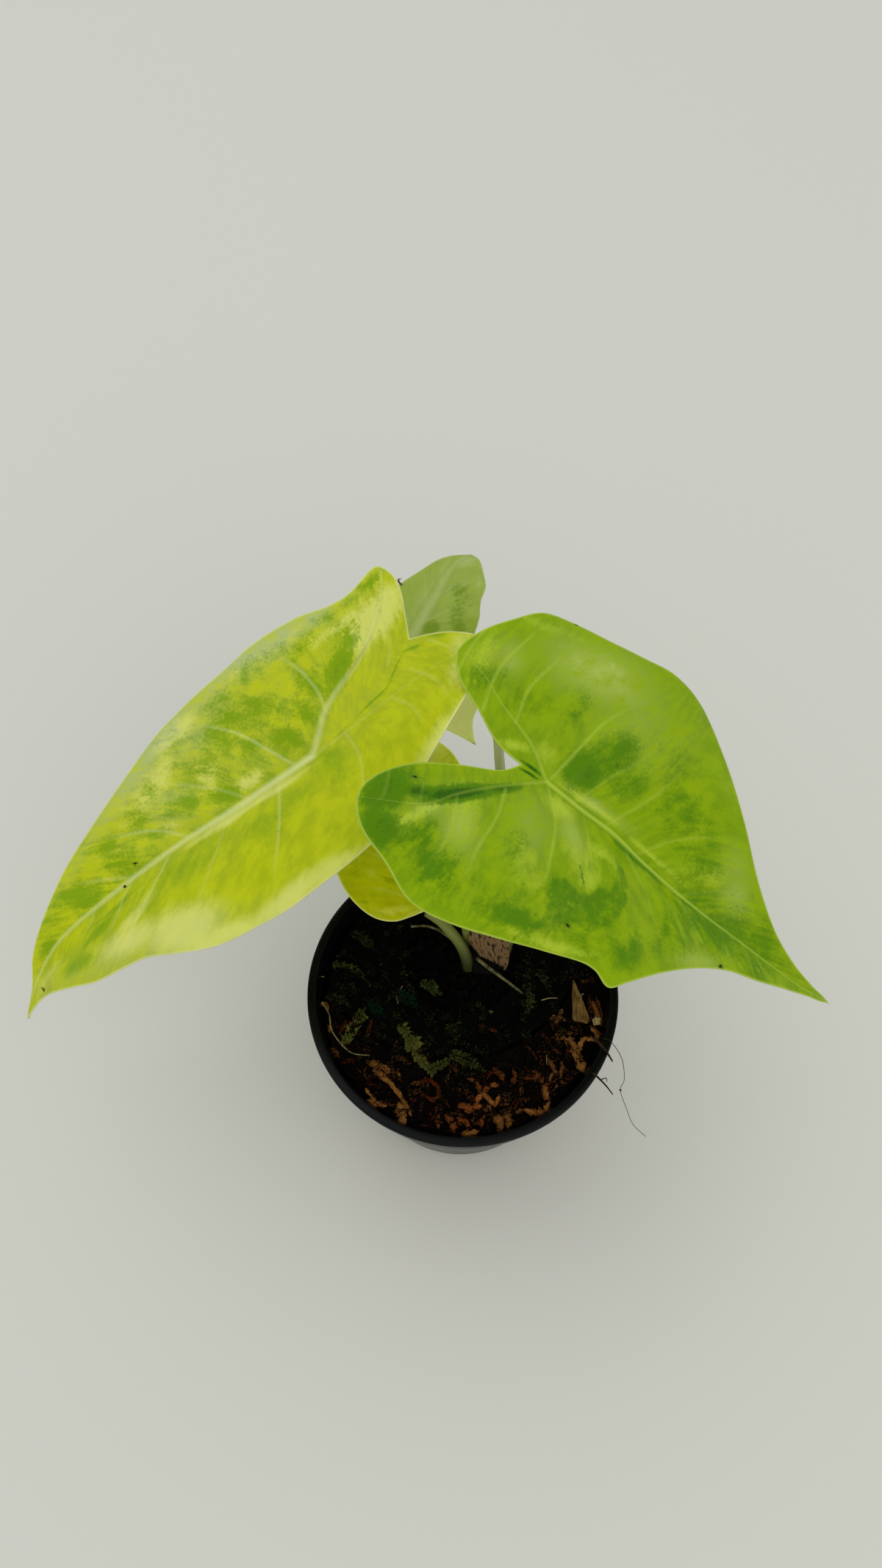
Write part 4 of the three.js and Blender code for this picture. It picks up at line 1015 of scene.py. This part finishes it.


# Shoots and lobes that stand out: shape, plan, width, tone from 0 to 1, and hue from 0 to 1. The
# tone is partly the shoot's own and partly painted light, higher for shoots that catch the light.

GREEN_SHOOTS = [
    ([(-29.5, 17), (-26, 14.8), (-23, 12)], 3.2, 0.35, 0.7),
    ([(-34.2, 8), (-30.5, 7.2), (-27.4, 5.6), (-24.2, 1.8)], 2.4, 0.6, 0.85),
    ([(-30.5, 12), (-33, 10)], 2.4, 0.3, 0.7),
    ([(-35.6, -0.8), (-31, -2.2), (-29, -4)], 3.2, 0.35, 0.7),
    ([(-30.2, -14.4), (-28.6, -10.5), (-25, -7)], 3.8, 0.85, 0.85),
    ([(-28, -8), (-25.2, -4.6)], 2.8, 0.5, 0.7),
    ([(-24.4, -2.8), (-20, -6.6)], 3.6, 0.4, 0.0),
    ([(-18, -0.6), (-14.6, -2), (-11.6, -4.6)], 3.6, 0.4, 0.0),
    ([(-10.8, 2.6), (-8.4, 0.8), (-5.6, -0.8)], 3.4, 0.75, 0.45),
    ([(-8.2, 3), (-7, -1.2)], 2.6, 0.6, 0.4),
    ([(-15.9, -9), (-13.4, -13), (-10.8, -18), (-7.8, -21.4)], 4.6, 0.75, 0.95),
    ([(-14.8, -10.4), (-17.4, -7.6)], 2, 0.6, 0.9),
    ([(-9, -20.6), (-6, -19.6), (-2.6, -17.4)], 3.2, 0.5, 0.85),
    ([(-3.4, -16.4), (1, -18.4), (5.4, -21)], 3.4, 0.42, 0.8),
    ([(16.5, 2.2), (17.2, -3.2), (15.2, -7.8)], 2.6, 0.6, 0.6),
    ([(17.6, -0.4), (18.8, -3.8)], 1.8, 0.45, 0.6),
    ([(19.8, 6), (21.4, 3), (22.8, 0)], 3, 0.42, 0.45),
    ([(-4.6, -9.8), (0.6, -10.6)], 2.2, 0.3, 0.8),
    ([(24.6, -9.4), (25.8, -12.4)], 2, 0.35, 0.7),
]

BROWN_FINGERS = [
    ([(-21.8, -28), (-24, -28.2), (-26.2, -28.4, 0.9)], 0.75, 0.8, 1.0),
    ([(-21.8, -28), (-23, -26.6), (-24.2, -25, 0.9)], 0.7, 0.7, 0.95),
    ([(-22, -28.2), (-22.2, -30), (-22.2, -31.8, 0.8)], 0.85, 0.85, 1.0),
    ([(-21.8, -28.2), (-20.4, -29), (-18.8, -29.2, 0.9)], 0.75, 0.7, 0.85),
    ([(-22, -28), (-23.8, -29.6), (-24.8, -30.2, 0.5)], 0.6, 0.7, 0.9),
    ([(-22.4, -20.2, 1.0), (-20, -22.4, 1.2), (-17, -25, 1.0), (-15.2, -27.6, 0.6)], 0.95, 0.62, 0.85),
    ([(-15.6, -28.4), (-15.2, -31.2, 0.8), (-15, -34.2, 0.8)], 1.2, 0.75, 0.9),
    ([(-15.4, -27.4), (-13.8, -29.6), (-13, -31.6)], 0.6, 0.6, 0.8),
    ([(-24.4, -18.2, 0.8), (-21, -19.6, 1.1), (-17, -21.2, 0.8)], 1.05, 0.48, 0.75),
    ([(-17.6, -20.6), (-15.8, -22.2)], 0.8, 0.7, 0.9),
    ([(-12.2, -24), (-9, -23.2, 0.9), (-6.2, -25, 0.9), (-6.6, -28)], 0.8, 0.32, 0.0),
    ([(-11.6, -25.4), (-9, -27.4), (-6.8, -28.2)], 0.8, 0.3, 0.1),
    ([(-6.4, -30), (-6.4, -32.2), (-6.2, -34.8)], 0.7, 0.42, 0.6),
    ([(0.6, -31.2), (3, -28.6), (4.6, -26.2)], 0.95, 0.72, 0.5),
    ([(4.4, -26.2), (6.4, -28), (7.4, -29.4)], 0.8, 0.7, 0.6),
    ([(4.6, -26.2), (6.6, -24.6), (8.4, -24.4)], 0.8, 0.6, 0.45),
    ([(4.2, -26.4), (3.2, -23.8), (1.2, -23)], 0.75, 0.5, 0.4),
    ([(-1.4, -29.4), (2, -29.8), (5.4, -29.6)], 1.0, 0.62, 0.35),
    ([(4.8, -30.4), (7.6, -29.2), (8.8, -27)], 0.9, 0.66, 0.6),
    ([(-4.4, -31.4), (-2.6, -33.4), (-2.4, -35.4)], 1.1, 0.5, 0.35),
    ([(-1.6, -32.4), (0.4, -33.2), (1.4, -34.6)], 1.1, 0.6, 0.2),
    ([(2.2, -33.4), (3.6, -32.2), (4.2, -34.4)], 1.2, 0.75, 0.4),
    ([(-0.4, -36.2), (1.6, -36, 0.9), (3.4, -35.4)], 0.95, 0.8, 0.75),
    ([(7.6, -31.6), (9, -33.4), (8.6, -35)], 1.3, 0.6, 0.85),
    ([(9.6, -31), (11.2, -33), (10.6, -34.6)], 1.0, 0.5, 0.85),
    ([(12.6, -31), (14.4, -30.2)], 0.8, 0.42, 0.8),
    ([(20.3, -24.2), (20.6, -27.6), (20.2, -30.6)], 0.95, 0.72, 0.75),
    ([(20.4, -30.4), (18, -31, 0.7), (14.8, -30.2, 0.6)], 1.0, 0.74, 0.75),
    ([(20.4, -24.6), (21.6, -22.6), (22.4, -21)], 0.6, 0.5, 0.7),
    ([(21.2, -17.6), (23, -20.6), (25, -24.2)], 0.7, 0.5, 0.6),
    ([(24.8, -18.2), (24.4, -21.6), (22.8, -25)], 0.65, 0.5, 0.7),
    ([(18.4, -20), (18.8, -22.6), (20.4, -24)], 0.8, 0.4, 0.4),
    ([(14, -21.6), (16.8, -22.6), (19.6, -22)], 0.8, 0.35, 0.3),
    ([(12, -24), (13, -22.4), (12.6, -20.4)], 0.9, 0.4, 0.3),
    ([(7, -20.4), (9.2, -21.6), (10, -23.4)], 1.1, 0.35, 0.35),
    ([(25.4, -10.2), (27.6, -14.6), (29.4, -18.4), (30.6, -21)], 1.5, 0.62, 1.0),
    ([(28.6, -16.4, 1.2), (30, -13.2, 1.6), (32, -12.4, 1.6), (34.4, -13.2, 1.4)], 0.75, 0.78, 0.95),
    ([(34.2, -13.2, 1.4), (34, -11.4, 1.5), (32.6, -9.4, 1.2)], 0.65, 0.6, 0.8),
    ([(33, -8.4), (35, -11.6, 1.0), (36.4, -15, 1.2)], 0.6, 0.45, 0.5),
    ([(32.6, -1.6), (34.2, -4.4), (35, -7.6)], 0.9, 0.5, 0.8),
    ([(34.6, -1), (35.6, -5, 0.9), (35.4, -9, 0.9)], 0.5, 0.35, 0.4),
    ([(24.5, -7), (23.4, -8.8)], 0.6, 0.5, 1.0), ([(24.5, -7), (25.6, -4.6)], 0.6, 0.5, 1.0),
    ([(24.5, -7), (26.4, -7.6)], 0.6, 0.45, 1.0), ([(24.5, -7), (22.8, -6.4)], 0.6, 0.45, 1.0),
    ([(-37.4, -3.4, 1.2), (-37.8, -5.4, 1.4), (-36.6, -7.4, 1.2)], 0.8, 0.5, 0.95),
    ([(-37, -3.2, 1.0), (-35.4, -3.2, 1.4), (-34.6, -5, 1.0)], 0.7, 0.42, 0.95),
    ([(-34.4, -8.6), (-33.4, -10.4)], 1.0, 0.4, 0.8),
    ([(-33.6, -14.6), (-31.6, -16.6)], 0.9, 0.35, 0.6),
    ([(3.8, -9.4), (6.4, -10), (9, -11.2)], 0.7, 0.32, 0.1),
]

# Pale scraps on the moss and past the rim: plan with lift, radius.
SPLINTERS = [
    ([(20.2, -2.6, 1.2), (22.2, -2.1, 1.5), (24.4, -1.9, 1.2)], 0.16),
    ([(29.9, -3.0, 1.9), (30.6, -1.4, 2.3), (31.1, -0.9, 2.2)], 0.16),
    ([(-15.6, 1.4, 0.4), (-17, -1.6, 0.7), (-16.6, -3.4, 0.3)], 0.1),
    ([(20.9, -15.5, 1.0), (20.9, -19.4, 1.2)], 0.1),
    ([(-37.4, 4.2, 2.0), (-36, 4, 2.2)], 0.14),
]
RIM_TWIGS = [
    ([(31, -20.6, 58.6), (33, -23.2, 60.5), (35, -25.4, 60.4), (36.6, -27.2, 59.4)], (0.34, 0.14)),
    ([(33.6, -24, 60.5), (35, -23.6, 60.9), (35.2, -24.4, 60.9)], (0.14, 0.1)),
    ([(33, -12.6, 58.8), (35.4, -16.4, 60.5), (37, -19.2, 60.4)], (0.5, 0.18)),
]
FIBRE = ([(33.4, -12.8, 59.4), (36.6, -14.2, 61), (39.4, -18.4, 60.2), (40.2, -22.6, 56.5),
          (39.4, -24.6, 54),
          (41, -28.6, 51.4), (42.6, -32, 49.6), (45.8, -34.6, 48)], (0.09, 0.07))
FIBRE_KNOT = (39.4, -24.6, 54)
PELLET = [(34.1, -7.6, 1.3)]
GREEN_CRUMB = [(7.2, -5.7)]


def add_mat(heap, rings, seed):
    """A thin crumbled sheet between rings of plan points, closed below. It takes tone 0, the darkest:
    painted shade under the shoots.
    """
    closed = bool(np.hypot(*(np.array(rings[0][0]) - rings[0][-1])) < 0.01)
    columns = len(rings[0]) - closed
    top, under = [], []
    for x, y in (point for ring in rings for point in ring[:columns]):
        level = fill_level(x, y)
        top.append((x, y, level + MAT["lift"] + MAT["thickness"] + 0.5 * roughness_at(x + seed, y, 3.2)
                    + 0.35 * roughness_at(x, y + seed, 1.1)))
        under.append((x, y, level + MAT["underside"]))
    cells, _ = close_sheet(grid_cells(len(rings), columns, closed), len(top))
    heap.add(top + under, cells, 0.0, 0.5)


def moss_rings(kind):
    """Rings of plan points from the inner to the outer edge of a moss."""
    near, far = [], []
    for step in range(MAT["columns"] + 1):
        t = step / MAT["columns"]
        if kind == "green":
            a = 2 * math.pi * t
            ray = np.array((math.cos(a), math.sin(a)))
            near.append(np.array(BARE["centre"]) + BARE["radius"] * ray)
            far.append((brown_inner_radius(math.degrees(a) % 360) - MAT["seam"]) * ray)
        else:
            start, end = MAT["brown_from"] + MAT["brown_inset"], MAT["brown_to"] - MAT["brown_inset"]
            degrees = start + (end - start) * t
            a = math.radians(degrees)
            ray = np.array((math.cos(a), math.sin(a)))
            near.append(brown_inner_radius(degrees % 360) * ray)
            far.append(FILL["radius"] * ray)
    return [[tuple(a + (b - a) * i / MAT["rings"]) for a, b in zip(near, far)]
            for i in range(MAT["rings"] + 1)]


def make_moss(kind, shoots, seed, material):
    s = SHOOTS
    rng = random.Random(seed)
    heap = Heap()
    add_mat(heap, moss_rings(kind), seed)
    made = 0
    while made < shoots:
        x, y = rng.uniform(-s["outer"], s["outer"]), rng.uniform(-s["outer"], s["outer"])
        if math.hypot(x, y) > s["within"] or moss_kind(x, y) != kind:
            continue
        if math.hypot(x - CROWN["centre"][0], y - CROWN["centre"][1]) < CROWN["radius"] + s["crown_gap"]:
            continue
        made += 1
        heading, reach = rng.uniform(0, 2 * math.pi), rng.uniform(*s["reach"])
        end = (x + reach * math.cos(heading), y + reach * math.sin(heading))
        if math.hypot(*end) > s["outer"]:
            end = (x - reach * math.cos(heading), y - reach * math.sin(heading))
        middle = ((x + end[0]) / 2, (y + end[1]) / 2, rng.uniform(*s["middle_lift"]))
        line = raised([(x, y, s["root_lift"]), middle, (*end, rng.uniform(*s["end_lift"]))])
        if kind == "green" or rng.random() < s["feather_share"]:
            width, tone, hue = (rng.uniform(*s["feather_" + key]) for key in ("width", "tone", "hue"))
            add_feather(heap, line, width, tone, hue, rng, 0.8)
        else:
            add_finger(heap, line, *(rng.uniform(*s["finger_" + key]) for key in ("girth", "tone", "hue")))
    if kind == "green":
        for plan, width, tone, hue in GREEN_SHOOTS:
            add_feather(heap, raised(plan), width, tone, hue, rng)
        add_crumb(heap, raised(GREEN_CRUMB)[0], 0.6, rng, 0.8, 0.9)
    else:
        for plan, girth, tone, hue in BROWN_FINGERS:
            add_finger(heap, raised(plan, 0.6), 0.85 * girth, 1.15 * tone, hue)
            add_feather(heap, raised(plan, 0.6), 2.4 * girth, 0.75 * tone, 0.8 * hue, rng, 1.1)
    install(heap.piece(kind + "_moss", material), "moss_" + kind)


def grain_material(name, shades):
    """Moss or peat: tiny leaves or crumbs with a dull skin. shades are the dark and light of both hues.
    The near-black darks are partly the matter's own colour and partly painted shade of the pot's inside,
    and tone carries painted light as well as each piece's own shade.
    """
    material, shader, node = new_material(name, Roughness=0.9, Specular_IOR_Level=0.05)
    tone, hue = (node("Attribute", {"attribute_name": key}, result="Fac") for key in ("tone", "hue"))
    where = node("TexCoord", result="Object")
    grains = node("TexNoise", {"Scale": 1 / (0.5 * MM), "Detail": 3.0}, {"Vector": where})
    light = node("Math", {"operation": "MULTIPLY_ADD", 1: 1.3}, {0: grains, 2: tone})
    light = node("MapRange", {"From Min": 0.82, "From Max": 1.75}, {"Value": light})
    darks, lights = (node("Mix", {"data_type": "RGBA", 6: shades[i], 7: shades[i + 2]}, {0: hue}, 2)
                     for i in (0, 1))
    colour = node("Mix", {"data_type": "RGBA"}, {0: light, 6: darks, 7: lights}, 2)
    return finish_surface(material, shader, colour, grains, 0.08)


def make_fill(seed, material):
    """Peat and fine bark: a body that fills the pot, with crumbs of all sizes on top."""
    rng = random.Random(seed)
    wall = POT["wall"] + FILL["clearance"]
    bottom = POT["floor"] + FILL["clearance"]
    shoulder = POT["step"] + POT["step_width"] - wall
    sides, levels = 72, 26
    points = [(0, 0, bottom)]
    for radius, z in ((POT["base"] - wall, bottom), (POT["step"] - wall, POT["step_z"]),
                      (shoulder, POT["step_z"] + 2 * POT["step_width"])):
        points += [(x, y, z) for x, y in circle(radius, sides)]
    for i in range(levels):
        for x, y in circle(shoulder * (1 - i / levels), sides):
            lump = 0.5 * roughness_at(x, y, 2.5) + 0.4 * roughness_at(x, y + 50, 1.0)
            points.append((x, y, fill_level(x, y) + lump - 0.1))
    points.append((0, 0, float(fill_level(0, 0))))
    top = len(points) - 1
    faces = [tuple(i + 1 for i in cell) for cell in grid_cells(levels + 3, sides, True, True)]
    for j in range(sides):
        beside = (j + 1) % sides
        faces += [(0, 1 + beside, 1 + j), (top - sides + j, top - sides + beside, top)]
    heap = Heap()
    heap.add(points, faces, 0.15, 0.5)
    for _ in range(CRUMBS["count"]):
        a, r = rng.uniform(0, 2 * math.pi), BARE["radius"] * CRUMBS["spread"] * math.sqrt(rng.random())
        x, y = BARE["centre"][0] + r * math.cos(a), BARE["centre"][1] + r * math.sin(a)
        size = rng.choice(CRUMBS["sizes"])
        add_crumb(heap, (x, y, float(fill_level(x, y)) + 0.25 * size), size, rng,
                  rng.uniform(*CRUMBS["tones"]), rng.random())
    install(heap.piece("potting_mix", material), "growing_medium")


def make_crown(material):
    """The corm's top: a corky knob with the rings of old leaf bases."""
    middle, half = (CROWN["bottom"] + CROWN["top"]) / 2, (CROWN["top"] - CROWN["bottom"]) / 2
    rows, sides = 40, 56
    points = []
    for i in range(1, rows):
        angle = -math.pi / 2 + math.pi * i / rows
        z = middle + half * math.sin(angle)
        ring = 0.22 * math.sin(z * 3.6) * math.cos(angle)
        for c, s in circle(1, sides):
            lump = 0.35 * noise.noise(Vector((3 * c, 3 * s, z / 2)))
            r = (CROWN["radius"] - 0.35) * math.cos(angle) ** 0.6 + ring + lump * math.cos(angle)
            points.append((CROWN["centre"][0] + r * c, CROWN["centre"][1] + r * s, z))
    ends = [tuple(range(sides))[::-1], tuple((rows - 2) * sides + j for j in range(sides))]
    piece = mesh_piece("corm_crown", points, grid_cells(rows - 1, sides, True, True) + ends, material)
    install(piece, "crown")


SHEATH = dict(
    joint=(9.8, 5.8, 54.8), heading=85, pitch=-74, length=25, half_width=8,
    arch=0, lobe_arch=0, fold=0, droop=(0.05, 0.05), tip_drop=0, bow=0, back=0,
    wave=((0.3, 9, 0), (0.3, 9, 0)))
SHEATH_LEFT = [(0, 0), (2.5, 2.6), (5.5, 5), (10, 8), (15, 9), (20, 6.5), (25, 1)]
SHEATH_RIGHT = [(0, 0), (1.5, -1.2), (4, -1.9), (8, -2), (14, -2), (20, -2.2), (25, 1)]
SHEATH_HALF_THICKNESS = 0.16
SHEATH_RIDGES = 9


def make_sheath(material):
    """A dead leaf base: a thin curled scale with lengthwise ridges and a torn end."""
    surface = BladeSurface(SHEATH)
    rows, columns = 60, 40
    plane = np.array(ruled(SHEATH_RIGHT, SHEATH_LEFT, rows, columns))
    x, y = plane[:, 0], plane[:, 1]
    across = np.tile(np.arange(columns + 1) / columns, rows + 1)
    ridges = 0.1 * np.sin(across * 2 * np.pi * SHEATH_RIDGES) * np.clip(x / 4, 0, 1)
    crumple = np.array([0.25 * roughness_at(a, b, 2.2) for a, b in plane])
    base, normal = surface.place(x, y), surface.normal(x, y)
    faces = [base + normal * (offset + ridges + crumple)[:, None]
             for offset in (SHEATH_HALF_THICKNESS, -SHEATH_HALF_THICKNESS)]
    cells, _ = close_sheet(grid_cells(rows + 1, columns + 1), len(x))
    piece = mesh_piece("papery_sheath", np.concatenate(faces), cells, material)
    set_attribute(piece, "flat", np.tile(np.stack([x, across * 10, 0 * x], 1) * MM, (2, 1)))
    install(piece, "dried_sheath")


def sheath_material():
    """Dried leaf sheath: papery, pinkish tan, with dark lengthwise dashes and orange blotches."""
    material, shader, node = new_material("dry_leaf_sheath", Roughness=0.7, Specular_IOR_Level=0.2)
    flat = node("Attribute", {"attribute_name": "flat"}, result="Vector")
    lengthwise = node("Mapping", {"Scale": (0.35, 1, 1)}, {"Vector": flat})
    fibres, dashes, blotches = (
        node("TexNoise", {"Scale": 1 / (size * MM), "Detail": detail}, {"Vector": where})
        for size, detail, where in ((0.5, 4.0, lengthwise), (0.75, 2.0, lengthwise), (5, 2.0, flat)))
    dash_part = node("MapRange", {"interpolation_type": "SMOOTHSTEP", "From Min": 0.52, "From Max": 0.62,
                                  "To Max": 0.9}, {"Value": dashes})
    colour = node("Mix", {"data_type": "RGBA", 6: "#574a2e", 7: "#8a7654"}, {0: fibres}, 2)
    for shade, part in (("#7a5a34", blotches), ("#181007", dash_part)):
        colour = node("Mix", {"data_type": "RGBA", 7: shade}, {0: part, 6: colour}, 2)
    return finish_surface(material, shader, colour, fibres, 0.1)


FLAKE_PLACE = (29.4, -3.4, 57.6)
FLAKE_RIGHT = [(-6.4, 0.0), (-3, 0.9), (1.5, 2.0), (4.2, 2.6), (5.2, 1.6)]
FLAKE_LEFT = [(-6.4, -0.1), (-3, -0.9), (1.5, -1.5), (4.4, -1.6), (5.2, 1.4)]
FLAKE_THICKNESS = 0.7


def make_flake(material):
    """A split flake of bark, long and pointed, bent across its grain."""
    rows, columns = 26, 8
    top = []
    for t, u in ruled(FLAKE_LEFT, FLAKE_RIGHT, rows, columns):
        rise = 0.9 * math.cos(u * 0.8) + 0.25 * roughness_at(t, u * 3, 0.9) - 0.02 * t * t + 0.9
        top.append(np.array(FLAKE_PLACE) + (u + 0.1 * t, -t, rise))
    under = [place - (0, 0, FLAKE_THICKNESS) for place in top]
    cells, _ = close_sheet(grid_cells(rows + 1, columns + 1), len(top))
    install(mesh_piece("pointed_bark_flake", top + under, cells, material), "bark_flake")


def make_litter(seed, wood, pale):
    """The loose scraps: splinters and a pellet on the moss, and twigs and a fibre at the rim."""
    rng = random.Random(seed)
    scraps, twigs = Heap(), Heap()
    for plan, radius in SPLINTERS:
        scraps.add(*tube_shape(raised(plan), (radius, 0.6 * radius), 6, 10, True))
    add_crumb(scraps, raised(PELLET)[0], 1.3, rng)
    for line, radii in RIM_TWIGS:
        twigs.add(*tube_shape(line, radii, 7, 18, True))
    twigs.add(*tube_shape(*FIBRE, 6, 60, True))
    add_crumb(twigs, FIBRE_KNOT, 0.35, rng)
    install(scraps.piece("pale_scraps", pale))
    install(twigs.piece("rim_twigs", wood, True))


# Camera and light

CAMERA_PLACE = (-5.6 * MM, -108.6 * MM, 347.12 * MM)
CAMERA_TILT = 30.58       # degrees from straight down
LENS, SENSOR = 27.0, 36.0
FLOOR_SIZE, FLOOR_COLOUR = 6.0, "#cccdc4"
SKY_COLOUR, SKY_STRENGTH = "#f2f4f6", 0.86
LIGHTS = {
    "window": dict(place=(-0.8, 0.9, 1.7), aim=(0, 0.1, 0.08), size=2.2, power=6.4, colour="#ffffff"),
    "fill": dict(place=(0.6, -1.2, 1.7), aim=(0, -0.1, 0.08), size=2.2, power=10.0, colour="#fff0e0"),
}


def make_camera():
    """Pitched down on the plant from the front, as a telephone held over it."""
    data = bpy.data.cameras.new("camera")
    data.lens, data.sensor_width, data.sensor_fit = LENS, SENSOR, "AUTO"
    data.clip_start, data.clip_end = 0.01, 20
    camera = add_object("camera", data)
    camera.location = CAMERA_PLACE
    camera.rotation_euler = (math.radians(CAMERA_TILT), 0, 0)
    bpy.context.scene.camera = camera


def make_light(name, place, aim, size, power, colour):
    """A round soft light."""
    data = bpy.data.lights.new(name, "AREA")
    data.shape, data.size, data.energy, data.color = "DISK", size, power, linear(colour)[:3]
    light = add_object(name, data)
    light.location = place
    light.rotation_euler = (Vector(aim) - Vector(place)).to_track_quat("-Z", "Y").to_euler()


def make_stage():
    bpy.ops.mesh.primitive_plane_add(size=FLOOR_SIZE)
    floor = bpy.context.object
    floor.name = "floor"
    material, _, _ = new_material("painted_board", Roughness=0.7, Base_Color=linear(FLOOR_COLOUR))
    floor.data.materials.append(material)
    world = bpy.context.scene.world or bpy.data.worlds.new("world")
    bpy.context.scene.world = world
    world.use_nodes = True
    background = world.node_tree.nodes["Background"]
    background.inputs["Color"].default_value = linear(SKY_COLOUR)
    background.inputs["Strength"].default_value = SKY_STRENGTH
    bpy.context.scene.view_settings.view_transform = "Standard"


make_camera()
make_stage()
for name, light in LIGHTS.items():
    make_light(name, **light)

# The plant

LEAVES = {
    "blade_left": ("leaf_chartreuse", dict(
        tissue="#b6c006", deeper="#a0af00", dark="#7c9e04", deep="#5f8d00", pale="#d0d56c", rib="#d9df9c",
        margin="#d6db9c", under="#b9c07a", bloom="#b0bd80", edge=0.28)),
    "blade_right": ("leaf_green", dict(
        tissue="#86a300", deeper="#749600", dark="#4d7c00", deep="#2a5a06", pale="#a9c030", rib="#b0c648",
        margin="#a9c048", under="#9bad66", edge=0.26, gloss=0.3)),
    "blade_back": ("leaf_grey_green", dict(
        tissue="#90a638", deeper="#869c2a", dark="#708a18", deep="#5a740e", pale="#a0b05c", rib="#abb870",
        margin="#a8b570", under="#98a470", bloom="#9caa64")),
    # blade_low's colours are partly its own and partly painted light passing through the blade.
    "blade_low": ("leaf_olive", dict(
        tissue="#c3ca04", deeper="#b2ba00", dark="#98a600", deep="#748600", pale="#d8da50", rib="#d6da70",
        margin="#e4e89a", under="#c0c460", soft=0.5)),
    # blade_hanging's pale colours are partly its own and partly painted light passing through the thin
    # blade.
    "blade_hanging": ("leaf_pale_green", dict(
        tissue="#eaf0a4", deeper="#e2e894", dark="#c8d27c", deep="#9dab54", pale="#f2f5bc", rib="#f2f5c4",
        margin="#f4f6cc", under="#ecf0a8", soft=0.9)),
}

for name, (slot, colours) in LEAVES.items():
    make_blade(name, leaf_material(slot.replace("leaf_", "living_leaf_"), **colours))
make_pot(pot_material())
stalk_skin = stalk_material()
for name, (line, radii) in STALKS.items():
    make_tube(name + "_stem", stalk_skin, "stalk", name, line, radii)
root_skin = dry_material("dried_root", "#3a3820", "#75714a", 1.5, 0.7, 0.08)
for name, (line, radii) in THREADS.items():
    make_tube(name + "_thread", root_skin, "root", name, line, radii, sides=8, steps=24, pointed=True)
hook_line = BladeSurface(BLADES["blade_back"]).place(*np.array(HOOK).T, lift=0.2)
make_tube("dry_margin_hook", root_skin, "root", None, hook_line, (0.35, 0.25, 0.12), sides=8, steps=12,
          pointed=True)

# The near-black darks of peat and moss are partly their own colour and partly painted shade inside the pot.
make_fill(5, grain_material("peat_and_bark", ("#020101", "#120c07", "#010101", "#18120a")))
make_moss("green", 230, 3, grain_material("living_moss", ("#010201", "#0c3418", "#020201", "#545620")))
make_moss("brown", 210, 9, grain_material("dead_moss", ("#030100", "#742c08", "#030201", "#8a5f2c")))
make_crown(dry_material("corky_corm", "#020201", "#0e0a06", 1.2))
make_sheath(sheath_material())
make_flake(dry_material("split_bark", "#443212", "#745a30", 0.8, 0.8, 0.12, (1, 0.25, 1)))
make_litter(17, dry_material("brown_twig", "#1a120a", "#3a2a18", 1.0),
            dry_material("pale_splinter", "#6a5c38", "#9c8a5c", 0.7))
